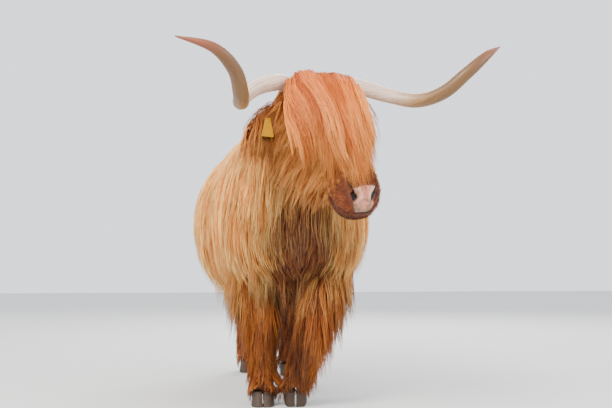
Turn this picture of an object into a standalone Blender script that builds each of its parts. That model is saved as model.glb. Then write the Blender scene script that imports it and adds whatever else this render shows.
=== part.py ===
"""A life-size Highland cow in mid stride, its head turned to its left.

The cow faces -Y and its left side is +X. Each part of the body is one closed solid: a core of flesh and
undercoat, lofted through named sections, and on it the long outer coat as flat, tapered locks that bend
and overlap along the lie of the hair. The locks are drawn from one seeded series. They drape over what
lies under them, and one that would still touch another part is shortened or left out. Neighbouring parts
meet face to face and keep a small gap. All lengths are in metres.
"""

import math
import random
from collections import namedtuple

import bmesh
import bpy
from mathutils import Matrix, Vector
from mathutils.bvhtree import BVHTree

SEED = 7
CUT_GAP = 0.0004  # how far a part stays off the neighbour that cuts it
LOCK_CLEARANCE = 0.0012  # how far a lock keeps from other parts
# Tried in turn until a lock stays clear of other parts: the share of its length and how much higher it lies.
RETRIES = ((1, 0), (1, 0.012), (1, 0.025), (1, 0.040), (0.8, 0.015), (0.8, 0.035), (0.62, 0), (0.62, 0.030),
           (0.45, 0))
FLOOR_CLEARANCE = 0.010
SHARP_ANGLE = math.radians(35)  # edges bent more than this are shaded sharp

UP = Vector((0, 0, 1))
DOWN = -UP
BACKWARD = Vector((0, 1, 0))
LEFTWARD = Vector((1, 0, 0))

# The trunk, from the chest back: how far back each section lies, its half width, top and underside.
Section = namedtuple("Section", "name y half_width top bottom")
TRUNK = (
    Section("brisket", -0.315, 0.085, 0.890, 0.690),
    Section("chest", -0.260, 0.175, 1.000, 0.610),
    Section("shoulder_points", -0.150, 0.250, 1.110, 0.560),
    Section("shoulders", 0.000, 0.290, 1.180, 0.545),
    Section("withers", 0.160, 0.305, 1.205, 0.545),
    Section("back", 0.360, 0.340, 1.180, 0.530),
    Section("ribs", 0.600, 0.372, 1.165, 0.520),
    Section("loin", 0.820, 0.368, 1.170, 0.545),
    Section("hips", 1.000, 0.335, 1.180, 0.620),
    Section("rump", 1.140, 0.280, 1.170, 0.700),
    Section("pins", 1.240, 0.210, 1.130, 0.780),
    Section("tail_set", 1.300, 0.110, 1.060, 0.880),
)
TRUNK_SQUARENESS = 2.5
TRUNK_PEAR = 0.09  # how much wider the trunk is low down than high up
TRUNK_SIDES = 16
TRUNK_AXIS_HEIGHT = 0.86

# The neck: centre, half width and half height of each section, from inside the trunk to the skull.
NECK = (
    (Vector((0.000, 0.040, 0.950)), 0.215, 0.235),
    (Vector((0.002, -0.110, 1.000)), 0.205, 0.230),
    (Vector((0.008, -0.220, 1.060)), 0.182, 0.208),
    (Vector((0.012, -0.310, 1.125)), 0.152, 0.182),
    (Vector((0.016, -0.395, 1.190)), 0.105, 0.130),
)
NECK_SIDES = 12

# The head hangs from the poll, midway between the horns. It is turned to the cow's left and tilted,
# its right side down.
POLL = Vector((0.026, -0.446, 1.317))
HEAD_TURN = math.radians(26)
HEAD_TILT = math.radians(5.2)
FACE_SLOPE = math.radians(53)  # below the horizon
LEVEL_LEFT = Vector((math.cos(HEAD_TURN), math.sin(HEAD_TURN), 0))
HEAD_FORWARD = Vector((math.sin(HEAD_TURN), -math.cos(HEAD_TURN), 0))
HEAD_LEFT = LEVEL_LEFT * math.cos(HEAD_TILT) + UP * math.sin(HEAD_TILT)
HEAD_UP = UP * math.cos(HEAD_TILT) - LEVEL_LEFT * math.sin(HEAD_TILT)
HEAD_LENGTHWISE = HEAD_FORWARD * math.cos(FACE_SLOPE) - HEAD_UP * math.sin(FACE_SLOPE)
HEAD_OUTWARD = HEAD_FORWARD * math.sin(FACE_SLOPE) + HEAD_UP * math.cos(FACE_SLOPE)
# The skull with its flesh: distance down the face, half width, front of the face and underside, and how
# much further down the face the underside lies than the front, as a share of the depth.
SkullSection = namedtuple("SkullSection", "name along half_width front under slant")
SKULL = (
    SkullSection("nape", -0.060, 0.055, -0.020, -0.105, 0),
    SkullSection("crown", -0.038, 0.088, 0.022, -0.150, 0),
    SkullSection("poll", 0.000, 0.106, 0.044, -0.188, 0),
    SkullSection("forehead", 0.075, 0.115, 0.050, -0.218, 0),
    SkullSection("eyes", 0.155, 0.115, 0.046, -0.228, 0),
    SkullSection("cheeks", 0.240, 0.103, 0.038, -0.216, 0),
    SkullSection("face", 0.330, 0.088, 0.028, -0.190, 0),
    SkullSection("mouth_corner", 0.412, 0.081, 0.020, -0.168, 0.05),
    SkullSection("muzzle", 0.470, 0.087, 0.016, -0.160, 0.12),
    SkullSection("nostrils", 0.520, 0.089, 0.004, -0.156, 0.24),
    SkullSection("lips", 0.548, 0.077, -0.014, -0.142, 0.32),
    SkullSection("nose", 0.562, 0.048, -0.036, -0.116, 0.36),
)
SKULL_SQUARENESS = 2.6
SKULL_SIDES = 18

EYE_ALONG = 0.155
EYE_ASIDE = 0.102
EYE_FRONT = 0.008
EYE_RADIUS = 0.021
LID_THICKNESS = 0.0065
NOSTRIL_ALONG = 0.532
NOSTRIL_ASIDE = 0.050
NOSTRIL_FRONT = -0.026
NOSTRIL_HALF_AXES = (0.011, 0.020, 0.024)
MOUTH_FRONT = -0.104  # the plane of the mouth line, under the poll
MOUTH_ALONG = 0.450
MOUTH_GROOVE = 0.005
MOUTH_SWEEP = math.radians(112)
MOUTH_POINTS = 15

# A horn: across, forward and up from the poll, and its radius there. Both horns are alike.
HORN = (
    (0.040, -0.042, -0.008, 0.0290),
    (0.130, -0.032, 0.014, 0.0335),
    (0.240, -0.013, -0.006, 0.0325),
    (0.345, 0.050, -0.051, 0.0310),
    (0.413, 0.145, -0.084, 0.0298),
    (0.469, 0.246, -0.064, 0.0284),
    (0.532, 0.325, 0.004, 0.0255),
    (0.621, 0.353, 0.072, 0.0185),
    (0.730, 0.311, 0.113, 0.0035),
)
HORN_STEPS = 2

EAR_ROOT_ALONG = 0.045
EAR_ROOT_ASIDE = 0.088
EAR_ROOT_FRONT = -0.075
EAR_LENGTH = 0.205
EAR_WIDTH = 0.118  # across the blade, laid flat
EAR_WALL = 0.007
EAR_DROOP = {-1: math.radians(30), 1: math.radians(7)}  # the right ear hangs lower
EAR_SWEEP_BACK = math.radians(6)
EAR_LENGTHWISE = 6
EAR_CROSSWISE = 7

TAG_WIDTH = 0.057
TAG_NECK_WIDTH = 0.022
TAG_HEIGHT = 0.075
TAG_BEVEL = 0.004
TAG_THICKNESS = 0.0024
TAG_STAND_OFF = 0.019  # the tag hangs clear of the ear's curved rim
TAG_PIN_DROP = 0.012  # how far the pin lies under the tag's top
TAG_BUTTON = 0.014
TAG_PIN_RADIUS = 0.0035
TAG_PLACE = 0.62  # of the way along the ear

# How the legs stand: top, elbow or stifle, knee or hock, fetlock, and coronet above the hoof.
LEG_JOINTS = {
    "foreleg_right": ((-0.170, -0.010, 0.800), (-0.168, 0.010, 0.640), (-0.140, -0.020, 0.385),
                      (-0.134, -0.004, 0.140), (-0.134, -0.034, 0.062)),
    "foreleg_left": ((0.172, -0.020, 0.800), (0.148, -0.060, 0.640), (0.076, -0.165, 0.400),
                     (0.024, -0.080, 0.172), (0.002, -0.084, 0.086)),
    "hindleg_right": ((-0.175, 1.040, 0.940), (-0.170, 1.010, 0.700), (-0.126, 1.235, 0.465),
                      (-0.112, 1.280, 0.145), (-0.110, 1.252, 0.062)),
    "hindleg_left": ((0.175, 1.020, 0.940), (0.170, 0.935, 0.700), (0.114, 1.110, 0.455),
                     (0.096, 1.090, 0.145), (0.092, 1.060, 0.062)),
}
# Where a leg's sections lie, counted in joints, with half width and half depth.
FORELEG_SECTIONS = (
    (0.0, 0.090, 0.150), (1.0, 0.088, 0.118), (1.5, 0.068, 0.083), (1.85, 0.056, 0.064),
    (2.1, 0.053, 0.059), (2.4, 0.043, 0.048), (2.75, 0.041, 0.045), (3.0, 0.047, 0.051),
    (3.5, 0.045, 0.047), (4.0, 0.051, 0.055),
)
HINDLEG_SECTIONS = (
    (0.0, 0.130, 0.200), (0.6, 0.122, 0.185), (1.0, 0.104, 0.160), (1.5, 0.074, 0.110),
    (1.85, 0.052, 0.078), (2.1, 0.047, 0.062), (2.5, 0.043, 0.049), (2.8, 0.043, 0.047),
    (3.0, 0.048, 0.052), (3.5, 0.045, 0.047), (4.0, 0.052, 0.056),
)
LEG_SIDES = 10
FOOT_PITCH = {"foreleg_left": math.radians(38)}  # toe down, as the foot leaves the ground
FOOT_TURN = {
    "foreleg_right": math.radians(-4), "foreleg_left": math.radians(-6),
    "hindleg_right": math.radians(-8), "hindleg_left": math.radians(8),
}

HOOF_HEIGHT = 0.060
CLAW_WIDTH = 0.047
CLAW_LENGTH = 0.100
CLAW_ARC_POINTS = 6
HALF_CLEFT = 0.003
TOE_REACH = 0.026  # how far the sole lies ahead of the coronet
TOE_TRIM = 0.006  # how much of a toe that only touches the floor is worn flat
DEWCLAW = ((0, 0.0130), (0.70, 0.0115), (1, 0.0040))  # share of its length, radius

TAIL = (
    (Vector((0.000, 1.180, 1.080)), 0.050),
    (Vector((0.000, 1.300, 1.085)), 0.048),
    (Vector((0.002, 1.365, 1.000)), 0.038),
    (Vector((0.004, 1.380, 0.850)), 0.031),
    (Vector((0.004, 1.375, 0.680)), 0.027),
    (Vector((0.002, 1.368, 0.520)), 0.022),
    (Vector((0.000, 1.365, 0.420)), 0.012),
)

# Colour and roughness of each finish.
FINISHES = {
    "coat": ((0.60, 0.28, 0.11), 0.75),
    "forelock_coat": ((0.52, 0.21, 0.08), 0.75),
    "leg_coat": ((0.40, 0.16, 0.06), 0.80),
    "horn": ((0.62, 0.52, 0.46), 0.45),
    "hoof": ((0.10, 0.07, 0.05), 0.50),
    "eye": ((0.02, 0.012, 0.008), 0.10),
    "tag": ((0.85, 0.58, 0.03), 0.40),
}

chance = random.Random(SEED)
cow = bpy.data.collections.new("highland_cow")
cutters = bpy.data.collections.new("cutters")


def smooth_rows(rows, steps):
    """The rows of numbers with more between them, on a smooth line through every row."""
    padded = [rows[0], *rows, rows[-1]]
    made = []
    for before, start, end, after in zip(padded, padded[1:], padded[2:], padded[3:]):
        for step in range(steps):
            t = step / steps
            made.append(tuple(
                0.5 * (2 * b + (c - a) * t + (2 * a - 5 * b + 4 * c - d) * t ** 2
                       + (3 * b - a - 3 * c + d) * t ** 3)
                for a, b, c, d in zip(before, start, end, after)
            ))
    made.append(tuple(rows[-1]))
    return made


def rounded_ring(centre, across, up, sides, squareness=2.0, pear=0.0):
    """A ring of points round centre. Across and up are its half axes; pear widens its lower half."""
    ring = []
    for i in range(sides):
        angle = math.tau * (i + 0.5) / sides
        c = math.copysign(abs(math.cos(angle)) ** (2 / squareness), math.cos(angle))
        s = math.copysign(abs(math.sin(angle)) ** (2 / squareness), math.sin(angle))
        ring.append(centre + across * c * (1 - pear * s) + up * s)
    return ring


def mesh_of(form):
    """The finished mesh of a bmesh, in triangles that face outwards."""
    bmesh.ops.triangulate(form, faces=form.faces)
    bmesh.ops.recalc_face_normals(form, faces=form.faces)
    mesh = bpy.data.meshes.new("form")
    form.to_mesh(mesh)
    form.free()
    return mesh


def loft_mesh(rings):
    """One closed surface over rings with the same number of points, capped at both ends."""
    form = bmesh.new()
    loops = [[form.verts.new(point) for point in ring] for ring in rings]
    for low, high in zip(loops, loops[1:]):
        for i, corner in enumerate(low):
            j = (i + 1) % len(low)
            form.faces.new((corner, low[j], high[j], high[i]))
    form.faces.new(reversed(loops[0]))
    form.faces.new(loops[-1])
    return mesh_of(form)


def rings_along(rows, sides):
    """Rings square to a path. Each row holds x, y, z, half width and half depth."""
    rings = []
    for i, row in enumerate(rows):
        ahead = Vector(rows[min(i + 1, len(rows) - 1)][:3])
        behind = Vector(rows[max(i - 1, 0)][:3])
        along = (ahead - behind).normalized()
        across = (LEFTWARD - along * LEFTWARD.dot(along)).normalized()
        rings.append(rounded_ring(Vector(row[:3]), across * row[3], along.cross(across) * row[4], sides))
    return rings


def evaluated_mesh(obj):
    """The object's mesh with its modifiers applied, or a curve's surface."""
    graph = bpy.context.evaluated_depsgraph_get()
    return bpy.data.meshes.new_from_object(obj.evaluated_get(graph))


def mesh_of_curve(curve):
    """A curve's surface as a closed mesh, with its loose caps welded on."""
    guide = bpy.data.objects.new("guide", curve)
    cutters.objects.link(guide)
    mesh = evaluated_mesh(guide)
    bpy.data.objects.remove(guide)
    form = bmesh.new()
    form.from_mesh(mesh)
    bmesh.ops.remove_doubles(form, verts=form.verts, dist=0.00002)
    return mesh_of(form)


def tube_mesh(points, radii, resolution=2, cyclic=False):
    """A round tube through the points, with 2 * resolution + 4 sides."""
    curve = bpy.data.curves.new("tube", "CURVE")
    curve.dimensions = "3D"
    curve.bevel_depth = 1
    curve.bevel_resolution = resolution
    curve.use_fill_caps = not cyclic
    spline = curve.splines.new("POLY")
    spline.points.add(len(points) - 1)
    for knot, point, radius in zip(spline.points, points, radii):
        knot.co = (*point, 1)
        knot.radius = radius
    spline.use_cyclic_u = cyclic
    return mesh_of_curve(curve)


def plate_mesh(outline, thickness):
    """A flat plate with this outline, in the XY plane."""
    curve = bpy.data.curves.new("plate", "CURVE")
    curve.dimensions = "2D"
    curve.fill_mode = "BOTH"
    curve.extrude = thickness / 2
    spline = curve.splines.new("POLY")
    spline.points.add(len(outline) - 1)
    for knot, (x, y) in zip(spline.points, outline):
        knot.co = (x, y, 0, 1)
    spline.use_cyclic_u = True
    return mesh_of_curve(curve)


def ball_mesh(centre, half_axes, segments=10, rings=6):
    """A ball stretched along three directions, given as vectors of its half axes."""
    form = bmesh.new()
    stretch = Matrix([(*axis, 0) for axis in half_axes] + [(0, 0, 0, 1)]).transposed()
    bmesh.ops.create_uvsphere(form, u_segments=segments, v_segments=rings, radius=1,
                              matrix=Matrix.Translation(centre) @ stretch)
    return mesh_of(form)


def boolean(obj, meshes, operation):
    """Joins closed meshes to the object, or cuts it with them."""
    pieces = bpy.data.collections.new("pieces")
    cutters.children.link(pieces)
    for mesh in meshes:
        pieces.objects.link(bpy.data.objects.new("piece", mesh))
    modifier = obj.modifiers.new("join", "BOOLEAN")
    modifier.operation = operation
    modifier.operand_type = "COLLECTION"
    modifier.collection = pieces
    mesh = evaluated_mesh(obj)
    obj.modifiers.clear()
    obj.data = mesh
    for piece in list(pieces.objects):
        bpy.data.objects.remove(piece)
    bpy.data.collections.remove(pieces)


def keep_largest_surface(obj):
    """Drops loose scraps and the walls of sealed hollows."""
    form = bmesh.new()
    form.from_mesh(obj.data)
    bmesh.ops.triangulate(form, faces=form.faces)
    form.faces.index_update()
    seen = set()
    surfaces = []
    for first in form.faces:
        if first.index in seen:
            continue
        seen.add(first.index)
        surface, waiting = [], [first]
        while waiting:
            face = waiting.pop()
            surface.append(face)
            for edge in face.edges:
                if len(edge.link_faces) != 2:
                    continue
                for near in edge.link_faces:
                    if near.index not in seen:
                        seen.add(near.index)
                        waiting.append(near)
        volume = sum(f.verts[0].co.dot(f.verts[1].co.cross(f.verts[2].co)) for f in surface)
        surfaces.append((volume, surface))
    surfaces.sort(key=lambda entry: -entry[0])
    scraps = [face for _, surface in surfaces[1:] for face in surface]
    bmesh.ops.delete(form, geom=scraps, context="FACES")
    bmesh.ops.delete(form, geom=[v for v in form.verts if not v.link_faces], context="VERTS")
    form.to_mesh(obj.data)
    form.free()


def swollen(mesh, by=CUT_GAP):
    """A copy of a mesh with its surface moved outwards, to cut a neighbour with."""
    copy = mesh.copy()
    for vertex, normal in zip(copy.vertices, [n.vector.copy() for n in mesh.vertex_normals]):
        vertex.co += normal * by
    return copy


def tree_of(meshes):
    """One search tree over several meshes."""
    points, faces = [], []
    for mesh in meshes:
        base = len(points)
        points += [v.co.copy() for v in mesh.vertices]
        faces += [[base + i for i in polygon.vertices] for polygon in mesh.polygons]
    return BVHTree.FromPolygons(points, faces)


def trunk_mesh():
    rings = []
    for y, half_width, top, bottom in [section[1:] for section in TRUNK]:
        rings.append(rounded_ring(Vector((0, y, (top + bottom) / 2)), LEFTWARD * half_width,
                                  UP * (top - bottom) / 2, TRUNK_SIDES, TRUNK_SQUARENESS, TRUNK_PEAR))
    return loft_mesh(rings)


def neck_rows(steps):
    return smooth_rows([(*centre, wide, high) for centre, wide, high in NECK], steps)


def neck_mesh():
    return loft_mesh(rings_along(neck_rows(1), NECK_SIDES))


def head_point(along, aside, front):
    """The point this far down the face, to the head's left and out of the face, from the poll."""
    return POLL + HEAD_LENGTHWISE * along + HEAD_LEFT * aside + HEAD_OUTWARD * front


def skull_mesh():
    rings = []
    for along, half_width, front, under, slant in smooth_rows([section[1:] for section in SKULL], 2):
        upward = (HEAD_OUTWARD - HEAD_LENGTHWISE * slant) * (front - under) / 2
        rings.append(rounded_ring(head_point(along, 0, (front + under) / 2), HEAD_LEFT * half_width,
                                  upward, SKULL_SIDES, SKULL_SQUARENESS))
    return loft_mesh(rings)


def eye_centre(side):
    return head_point(EYE_ALONG, EYE_ASIDE * side, EYE_FRONT)


def eye_mesh(side, radius=EYE_RADIUS):
    half_axes = [axis * radius for axis in (HEAD_LEFT, HEAD_OUTWARD, HEAD_LENGTHWISE)]
    return ball_mesh(eye_centre(side), half_axes)


def eyelid_mesh(side):
    """The rim of the lids round an eye, in a plane across the way it looks."""
    looks = (HEAD_LEFT * side + HEAD_OUTWARD * 0.45).normalized()
    upward = (-HEAD_LENGTHWISE + looks * HEAD_LENGTHWISE.dot(looks)).normalized()
    across = looks.cross(upward)
    centre = eye_centre(side) + looks * EYE_RADIUS * 0.45
    turns = 10
    rim = []
    for i in range(turns):
        angle = math.tau * i / turns
        rim.append(centre + across * math.cos(angle) * EYE_RADIUS * 1.12
                   + upward * math.sin(angle) * EYE_RADIUS * 0.90)
    return tube_mesh(rim, [LID_THICKNESS] * turns, resolution=1, cyclic=True)


def nostril_mesh(side):
    half_across, half_out, half_along = NOSTRIL_HALF_AXES
    return ball_mesh(head_point(NOSTRIL_ALONG, NOSTRIL_ASIDE * side, NOSTRIL_FRONT),
                     (HEAD_LEFT * half_across + HEAD_OUTWARD * side * 0.005, HEAD_OUTWARD * half_out,
                      HEAD_LENGTHWISE * half_along), 8, 6)


def mouth_mesh(skull):
    """The line of the mouth: a tube laid half in the skin round the muzzle."""
    skin = tree_of([skull])
    centre = head_point(MOUTH_ALONG, 0, MOUTH_FRONT)
    points = []
    for i in range(MOUTH_POINTS):
        angle = MOUTH_SWEEP * (2 * i / (MOUTH_POINTS - 1) - 1)
        outward = HEAD_LENGTHWISE * math.cos(angle) + HEAD_LEFT * math.sin(angle)
        points.append(skin.ray_cast(centre + outward * 0.5, -outward)[0])
    return tube_mesh(points, [MOUTH_GROOVE] * len(points), resolution=1)


def horn_mesh(side):
    rows = smooth_rows(HORN, HORN_STEPS)
    points = [POLL + HEAD_LEFT * side * across + HEAD_FORWARD * forward + HEAD_UP * up
              for across, forward, up, radius in rows]
    return tube_mesh(points, [row[3] for row in rows], resolution=2)


def ear_frame(side):
    """An ear's root, and the ways along it, across its blade and out of its cup."""
    root = head_point(EAR_ROOT_ALONG, EAR_ROOT_ASIDE * side, EAR_ROOT_FRONT)
    level = HEAD_LEFT * side * math.cos(EAR_SWEEP_BACK) - HEAD_FORWARD * math.sin(EAR_SWEEP_BACK)
    along = level * math.cos(EAR_DROOP[side]) - HEAD_UP * math.sin(EAR_DROOP[side])
    out = HEAD_FORWARD - HEAD_UP * 0.15
    out = (out - along * out.dot(along)).normalized()
    return root, along, out.cross(along) * side, out


def ear_mesh(side):
    """A cupped blade, rolled up at its root and open towards its tip, with a wall of even thickness."""
    root, along, across, out = ear_frame(side)
    form = bmesh.new()
    grid = []
    for i in range(EAR_LENGTHWISE + 1):
        share = i / EAR_LENGTHWISE
        breadth = EAR_WIDTH * (0.64 + 1.72 * share - 2.06 * share ** 2)
        roll = math.radians(40 + 160 * (1 - share) ** 2.5)
        radius = breadth / roll
        row = []
        for j in range(EAR_CROSSWISE):
            angle = roll * (j / (EAR_CROSSWISE - 1) - 0.5)
            row.append(form.verts.new(root + along * EAR_LENGTH * share
                                      + across * radius * math.sin(angle)
                                      + out * radius * (1 - math.cos(angle))))
        grid.append(row)
    for low, high in zip(grid, grid[1:]):
        for j in range(EAR_CROSSWISE - 1):
            form.faces.new((low[j], low[j + 1], high[j + 1], high[j]))
    shell = bpy.data.objects.new("shell", mesh_of(form))
    cutters.objects.link(shell)
    wall = shell.modifiers.new("wall", "SOLIDIFY")
    wall.thickness = EAR_WALL
    wall.offset = 0
    mesh = evaluated_mesh(shell)
    bpy.data.objects.remove(shell)
    form = bmesh.new()
    form.from_mesh(mesh)
    return mesh_of(form)


def tag_matrix():
    """Where the tag's pin passes through the right ear: +Z along the pin to the front, +Y up."""
    root, along, across, out = ear_frame(-1)
    up = (UP - out * UP.dot(out)).normalized()
    turned = Matrix((up.cross(out), up, out)).transposed().to_4x4()
    return Matrix.Translation(root + along * EAR_LENGTH * TAG_PLACE) @ turned


def tag_outline():
    """A plate that is narrow round its pin and broad below, with bevelled corners."""
    bottom = TAG_PIN_DROP - TAG_HEIGHT
    right = [
        (TAG_NECK_WIDTH / 2, TAG_PIN_DROP),
        (TAG_NECK_WIDTH / 2, -TAG_PIN_DROP),
        (TAG_WIDTH / 2, -TAG_HEIGHT * 0.42),
        (TAG_WIDTH / 2, bottom + TAG_BEVEL),
        (TAG_WIDTH / 2 - TAG_BEVEL, bottom),
    ]
    return right + [(-x, y) for x, y in reversed(right)]


def tag_front_mesh():
    """The front plate of the tag and the pin that goes through the ear, as one piece."""
    plate = plate_mesh(tag_outline(), TAG_THICKNESS)
    plate.transform(Matrix.Translation((0, 0, TAG_STAND_OFF)))
    front = bpy.data.objects.new("plate", plate)
    cutters.objects.link(front)
    length = TAG_STAND_OFF + EAR_WALL
    form = bmesh.new()
    bmesh.ops.create_cone(form, cap_ends=True, segments=10, radius1=TAG_PIN_RADIUS,
                          radius2=TAG_PIN_RADIUS, depth=length,
                          matrix=Matrix.Translation((0, 0, TAG_STAND_OFF - length / 2)))
    boolean(front, [mesh_of(form)], "UNION")
    mesh = front.data
    bpy.data.objects.remove(front)
    mesh.transform(tag_matrix())
    return mesh


def disc_mesh(radius, low, high):
    """A disc round the line of the tag's pin, between two heights along it."""
    form = bmesh.new()
    middle = Matrix.Translation((0, 0, (low + high) / 2))
    bmesh.ops.create_cone(form, cap_ends=True, segments=16, radius1=radius, radius2=radius,
                          depth=high - low, matrix=tag_matrix() @ middle)
    return mesh_of(form)


def leg_rows(name, steps=1):
    """Rows for rings_along: a leg's sections at their places between its joints."""
    sections = FORELEG_SECTIONS if name.startswith("fore") else HINDLEG_SECTIONS
    path = smooth_rows(LEG_JOINTS[name], 4)
    rows = []
    for place, half_width, half_depth in smooth_rows(sections, steps):
        at = min(place * 4, len(path) - 1)
        low = min(int(at), len(path) - 2)
        centre = Vector(path[low]).lerp(Vector(path[low + 1]), at - low)
        rows.append((*centre, half_width, half_depth))
    return rows


def foot_matrix(name):
    """A foot's own frame: its origin amid the coronet, -Y to the toe and +Z up the leg."""
    turn = Matrix.Rotation(FOOT_TURN[name], 4, "Z")
    pitch = Matrix.Rotation(FOOT_PITCH.get(name, 0), 4, "X")
    return Matrix.Translation(LEG_JOINTS[name][-1]) @ turn @ pitch


def leg_mesh(name):
    """A leg down to the coronet, where it ends square to its foot."""
    rows = leg_rows(name)
    rings = rings_along(rows, LEG_SIDES)
    foot = foot_matrix(name).to_3x3()
    rings[-1] = rounded_ring(Vector(rows[-1][:3]), foot @ LEFTWARD * rows[-1][3],
                             foot @ BACKWARD * -rows[-1][4], LEG_SIDES)
    return loft_mesh(rings)


def claw_mesh(side):
    """Half of a cloven hoof in its foot's frame: flat towards the cleft, sloping forward outside."""
    rings = []
    for share, size in ((0, 0.87), (0.5, 0.94), (1, 1)):
        ring = []
        height = -CUT_GAP - (HOOF_HEIGHT - CUT_GAP) * share
        for i in range(CLAW_ARC_POINTS):
            angle = math.pi * i / (CLAW_ARC_POINTS - 1)
            bulge = abs(math.sin(angle)) ** 0.75
            ring.append(Vector((side * (HALF_CLEFT + CLAW_WIDTH * size * (0.14 + 0.86 * bulge)),
                                math.cos(angle) * CLAW_LENGTH * size / 2 - TOE_REACH * share, height)))
        for y in (ring[-1].y, ring[0].y):
            ring.append(Vector((side * HALF_CLEFT, y * 0.9, height)))
        rings.append(ring)
    return loft_mesh(rings)


def hoof_mesh(name, side):
    """One claw of a foot, standing on its sole, or on its worn toe where the foot is tilted."""
    mesh = claw_mesh(side)
    mesh.transform(foot_matrix(name))
    form = bmesh.new()
    form.from_mesh(mesh)
    lowest = min(v.co.z for v in form.verts)
    if name in FOOT_PITCH:
        lowest += TOE_TRIM
        everything = form.verts[:] + form.edges[:] + form.faces[:]
        cut = bmesh.ops.bisect_plane(form, geom=everything, plane_co=(0, 0, lowest),
                                     plane_no=DOWN, clear_outer=True)
        bmesh.ops.contextual_create(form, geom=[e for e in cut["geom_cut"]
                                                if isinstance(e, bmesh.types.BMEdge)])
    for vertex in form.verts:
        if vertex.co.z < lowest + 0.0005:
            vertex.co.z = 0
    return mesh_of(form)


def dewclaw_mesh(name, side):
    """A blunt cone behind the fetlock."""
    foot = foot_matrix(name).to_3x3()
    start = Vector(LEG_JOINTS[name][-2]) + foot @ Vector((0.020 * side, 0.030, -0.020))
    end = start + foot @ Vector((0.004 * side, 0.024, -0.030))
    return tube_mesh([start.lerp(end, share) for share, radius in DEWCLAW],
                     [radius for share, radius in DEWCLAW], resolution=1)


def tail_mesh():
    rows = smooth_rows([(*centre, radius) for centre, radius in TAIL], 2)
    return tube_mesh([row[:3] for row in rows], [row[3] for row in rows], resolution=2)


def lying(pull, normal):
    """The way hair lies: as it is pulled, but never into the skin."""
    return (pull - normal * min(0, pull.dot(normal))).normalized()


def pushed_off(place, near, normal, by):
    """The place, moved to where it hangs clear of the surface that comes near it."""
    away = place - near
    if away.dot(normal) < 0:
        return near + normal * by
    return place if away.length > by else near + away.normalized() * by


class Coat:
    """Makes the locks of one part, and keeps those that stay clear of every other part."""

    def __init__(self, obj, pull, drape, cling, form, other_forms, obstacles):
        self.obj = obj
        self.pull = pull
        self.drape = drape  # how far its locks lie off the other parts
        self.cling = cling  # locks are held close to the core where it faces up more than this
        self.core = tree_of([form])
        self.beneath = tree_of(other_forms)
        self.obstacles = tree_of(obstacles)
        self.locks = []
        self.tried = 0

    def comb(self, root, normal, length, lift, bands, stray, sunk, pull):
        """A lock's middle line, from inside the core out of its root and along the lie of the hair."""
        points, normals = [root - normal * sunk], [normal]
        place = root + normal * 0.002
        along = (normal * 0.8 + pull(root, normal)).normalized()
        for band in range(1, bands + 1):
            along = (along * 0.3 + pull(place, normal) * 0.7 + stray).normalized()
            place = place + along * length / bands
            near, normal, _, _ = self.core.find_nearest(place)
            wanted = lift * (band / bands) ** 0.5
            height = (place - near).dot(normal)
            if normal.z > self.cling:
                place -= normal * max(0, height - wanted * 1.2)
                height = min(height, wanted * 1.2)
            place += normal * max(0, wanted - height)
            near, aside, _, _ = self.beneath.find_nearest(place, 0.2)
            if near:
                place = pushed_off(place, near, aside, self.drape)
            place.z = max(place.z, FLOOR_CLEARANCE)
            points.append(place.copy())
            normals.append(normal)
        return points, normals

    def lock_mesh(self, points, normals, width, thickness, extra=0.0):
        """A flat lock with a low ridge that tapers to its tip. Extra makes it fatter all round."""
        form = bmesh.new()
        rings = []
        across = (points[1] - points[0]).normalized().cross(normals[0])
        if across.length < 0.3:
            across = BACKWARD.copy()
        for i, point in enumerate(points[:-1]):
            share = i / (len(points) - 1)
            along = (points[i + 1] - points[max(i - 1, 0)]).normalized()
            flat = along.cross(normals[i])
            if flat.dot(across) > 0:
                across += flat
            across = (across - along * across.dot(along)).normalized()
            out = across.cross(along)
            half_width = width / 2 * (0.80 + 0.80 * share - 1.45 * share ** 2) + extra
            height = thickness * (1 - 0.45 * share)
            corners = (across * half_width - out * (0.25 * height + extra),
                       out * (0.75 * height + extra),
                       -across * half_width - out * (0.25 * height + extra))
            rings.append([form.verts.new(point + corner) for corner in corners])
        tip = form.verts.new(points[-1] + (points[-1] - points[-2]).normalized() * extra)
        for low, high in zip(rings, rings[1:]):
            for i in range(3):
                form.faces.new((low[i], low[(i + 1) % 3], high[(i + 1) % 3], high[i]))
        for i in range(3):
            form.faces.new((rings[-1][i], rings[-1][(i + 1) % 3], tip))
        form.faces.new(reversed(rings[0]))
        return mesh_of(form)

    def grow(self, hit, length, width, thickness, lift, bands=4, sunk=0.022, pull=None):
        """Adds a lock at a point of the core, shortened or lifted where it would touch another part."""
        root, normal = hit[:2]
        if root is None:
            return
        self.tried += 1
        length *= chance.uniform(0.88, 1.12)
        width *= chance.uniform(0.88, 1.10)
        lift *= chance.uniform(0.75, 1.20)
        stray = Vector([chance.uniform(-0.09, 0.09) for _ in range(3)])
        for shorter, higher in RETRIES:
            points, normals = self.comb(root, normal, length * shorter, lift + higher, bands, stray, sunk,
                                        pull or self.pull)
            fat = self.lock_mesh(points, normals, width, thickness, LOCK_CLEARANCE)
            touched = tree_of([fat]).overlap(self.obstacles)
            bpy.data.meshes.remove(fat)
            if not touched:
                self.locks.append(self.lock_mesh(points, normals, width, thickness))
                return

    def surface_towards(self, middle, direction, reach=1.0):
        """Where a line from outside to the middle first meets the core, and the normal there."""
        return self.core.ray_cast(middle + direction * reach, -direction, reach)

    def join(self):
        """Fuses the locks with the core and returns copies of them for the next parts to avoid."""
        kept = [mesh.copy() for mesh in self.locks]
        boolean(self.obj, self.locks, "UNION")
        keep_largest_surface(self.obj)
        print(f"{self.obj.name}: {len(kept)} of {self.tried} locks, {len(self.obj.data.polygons)} triangles")
        return kept


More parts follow.
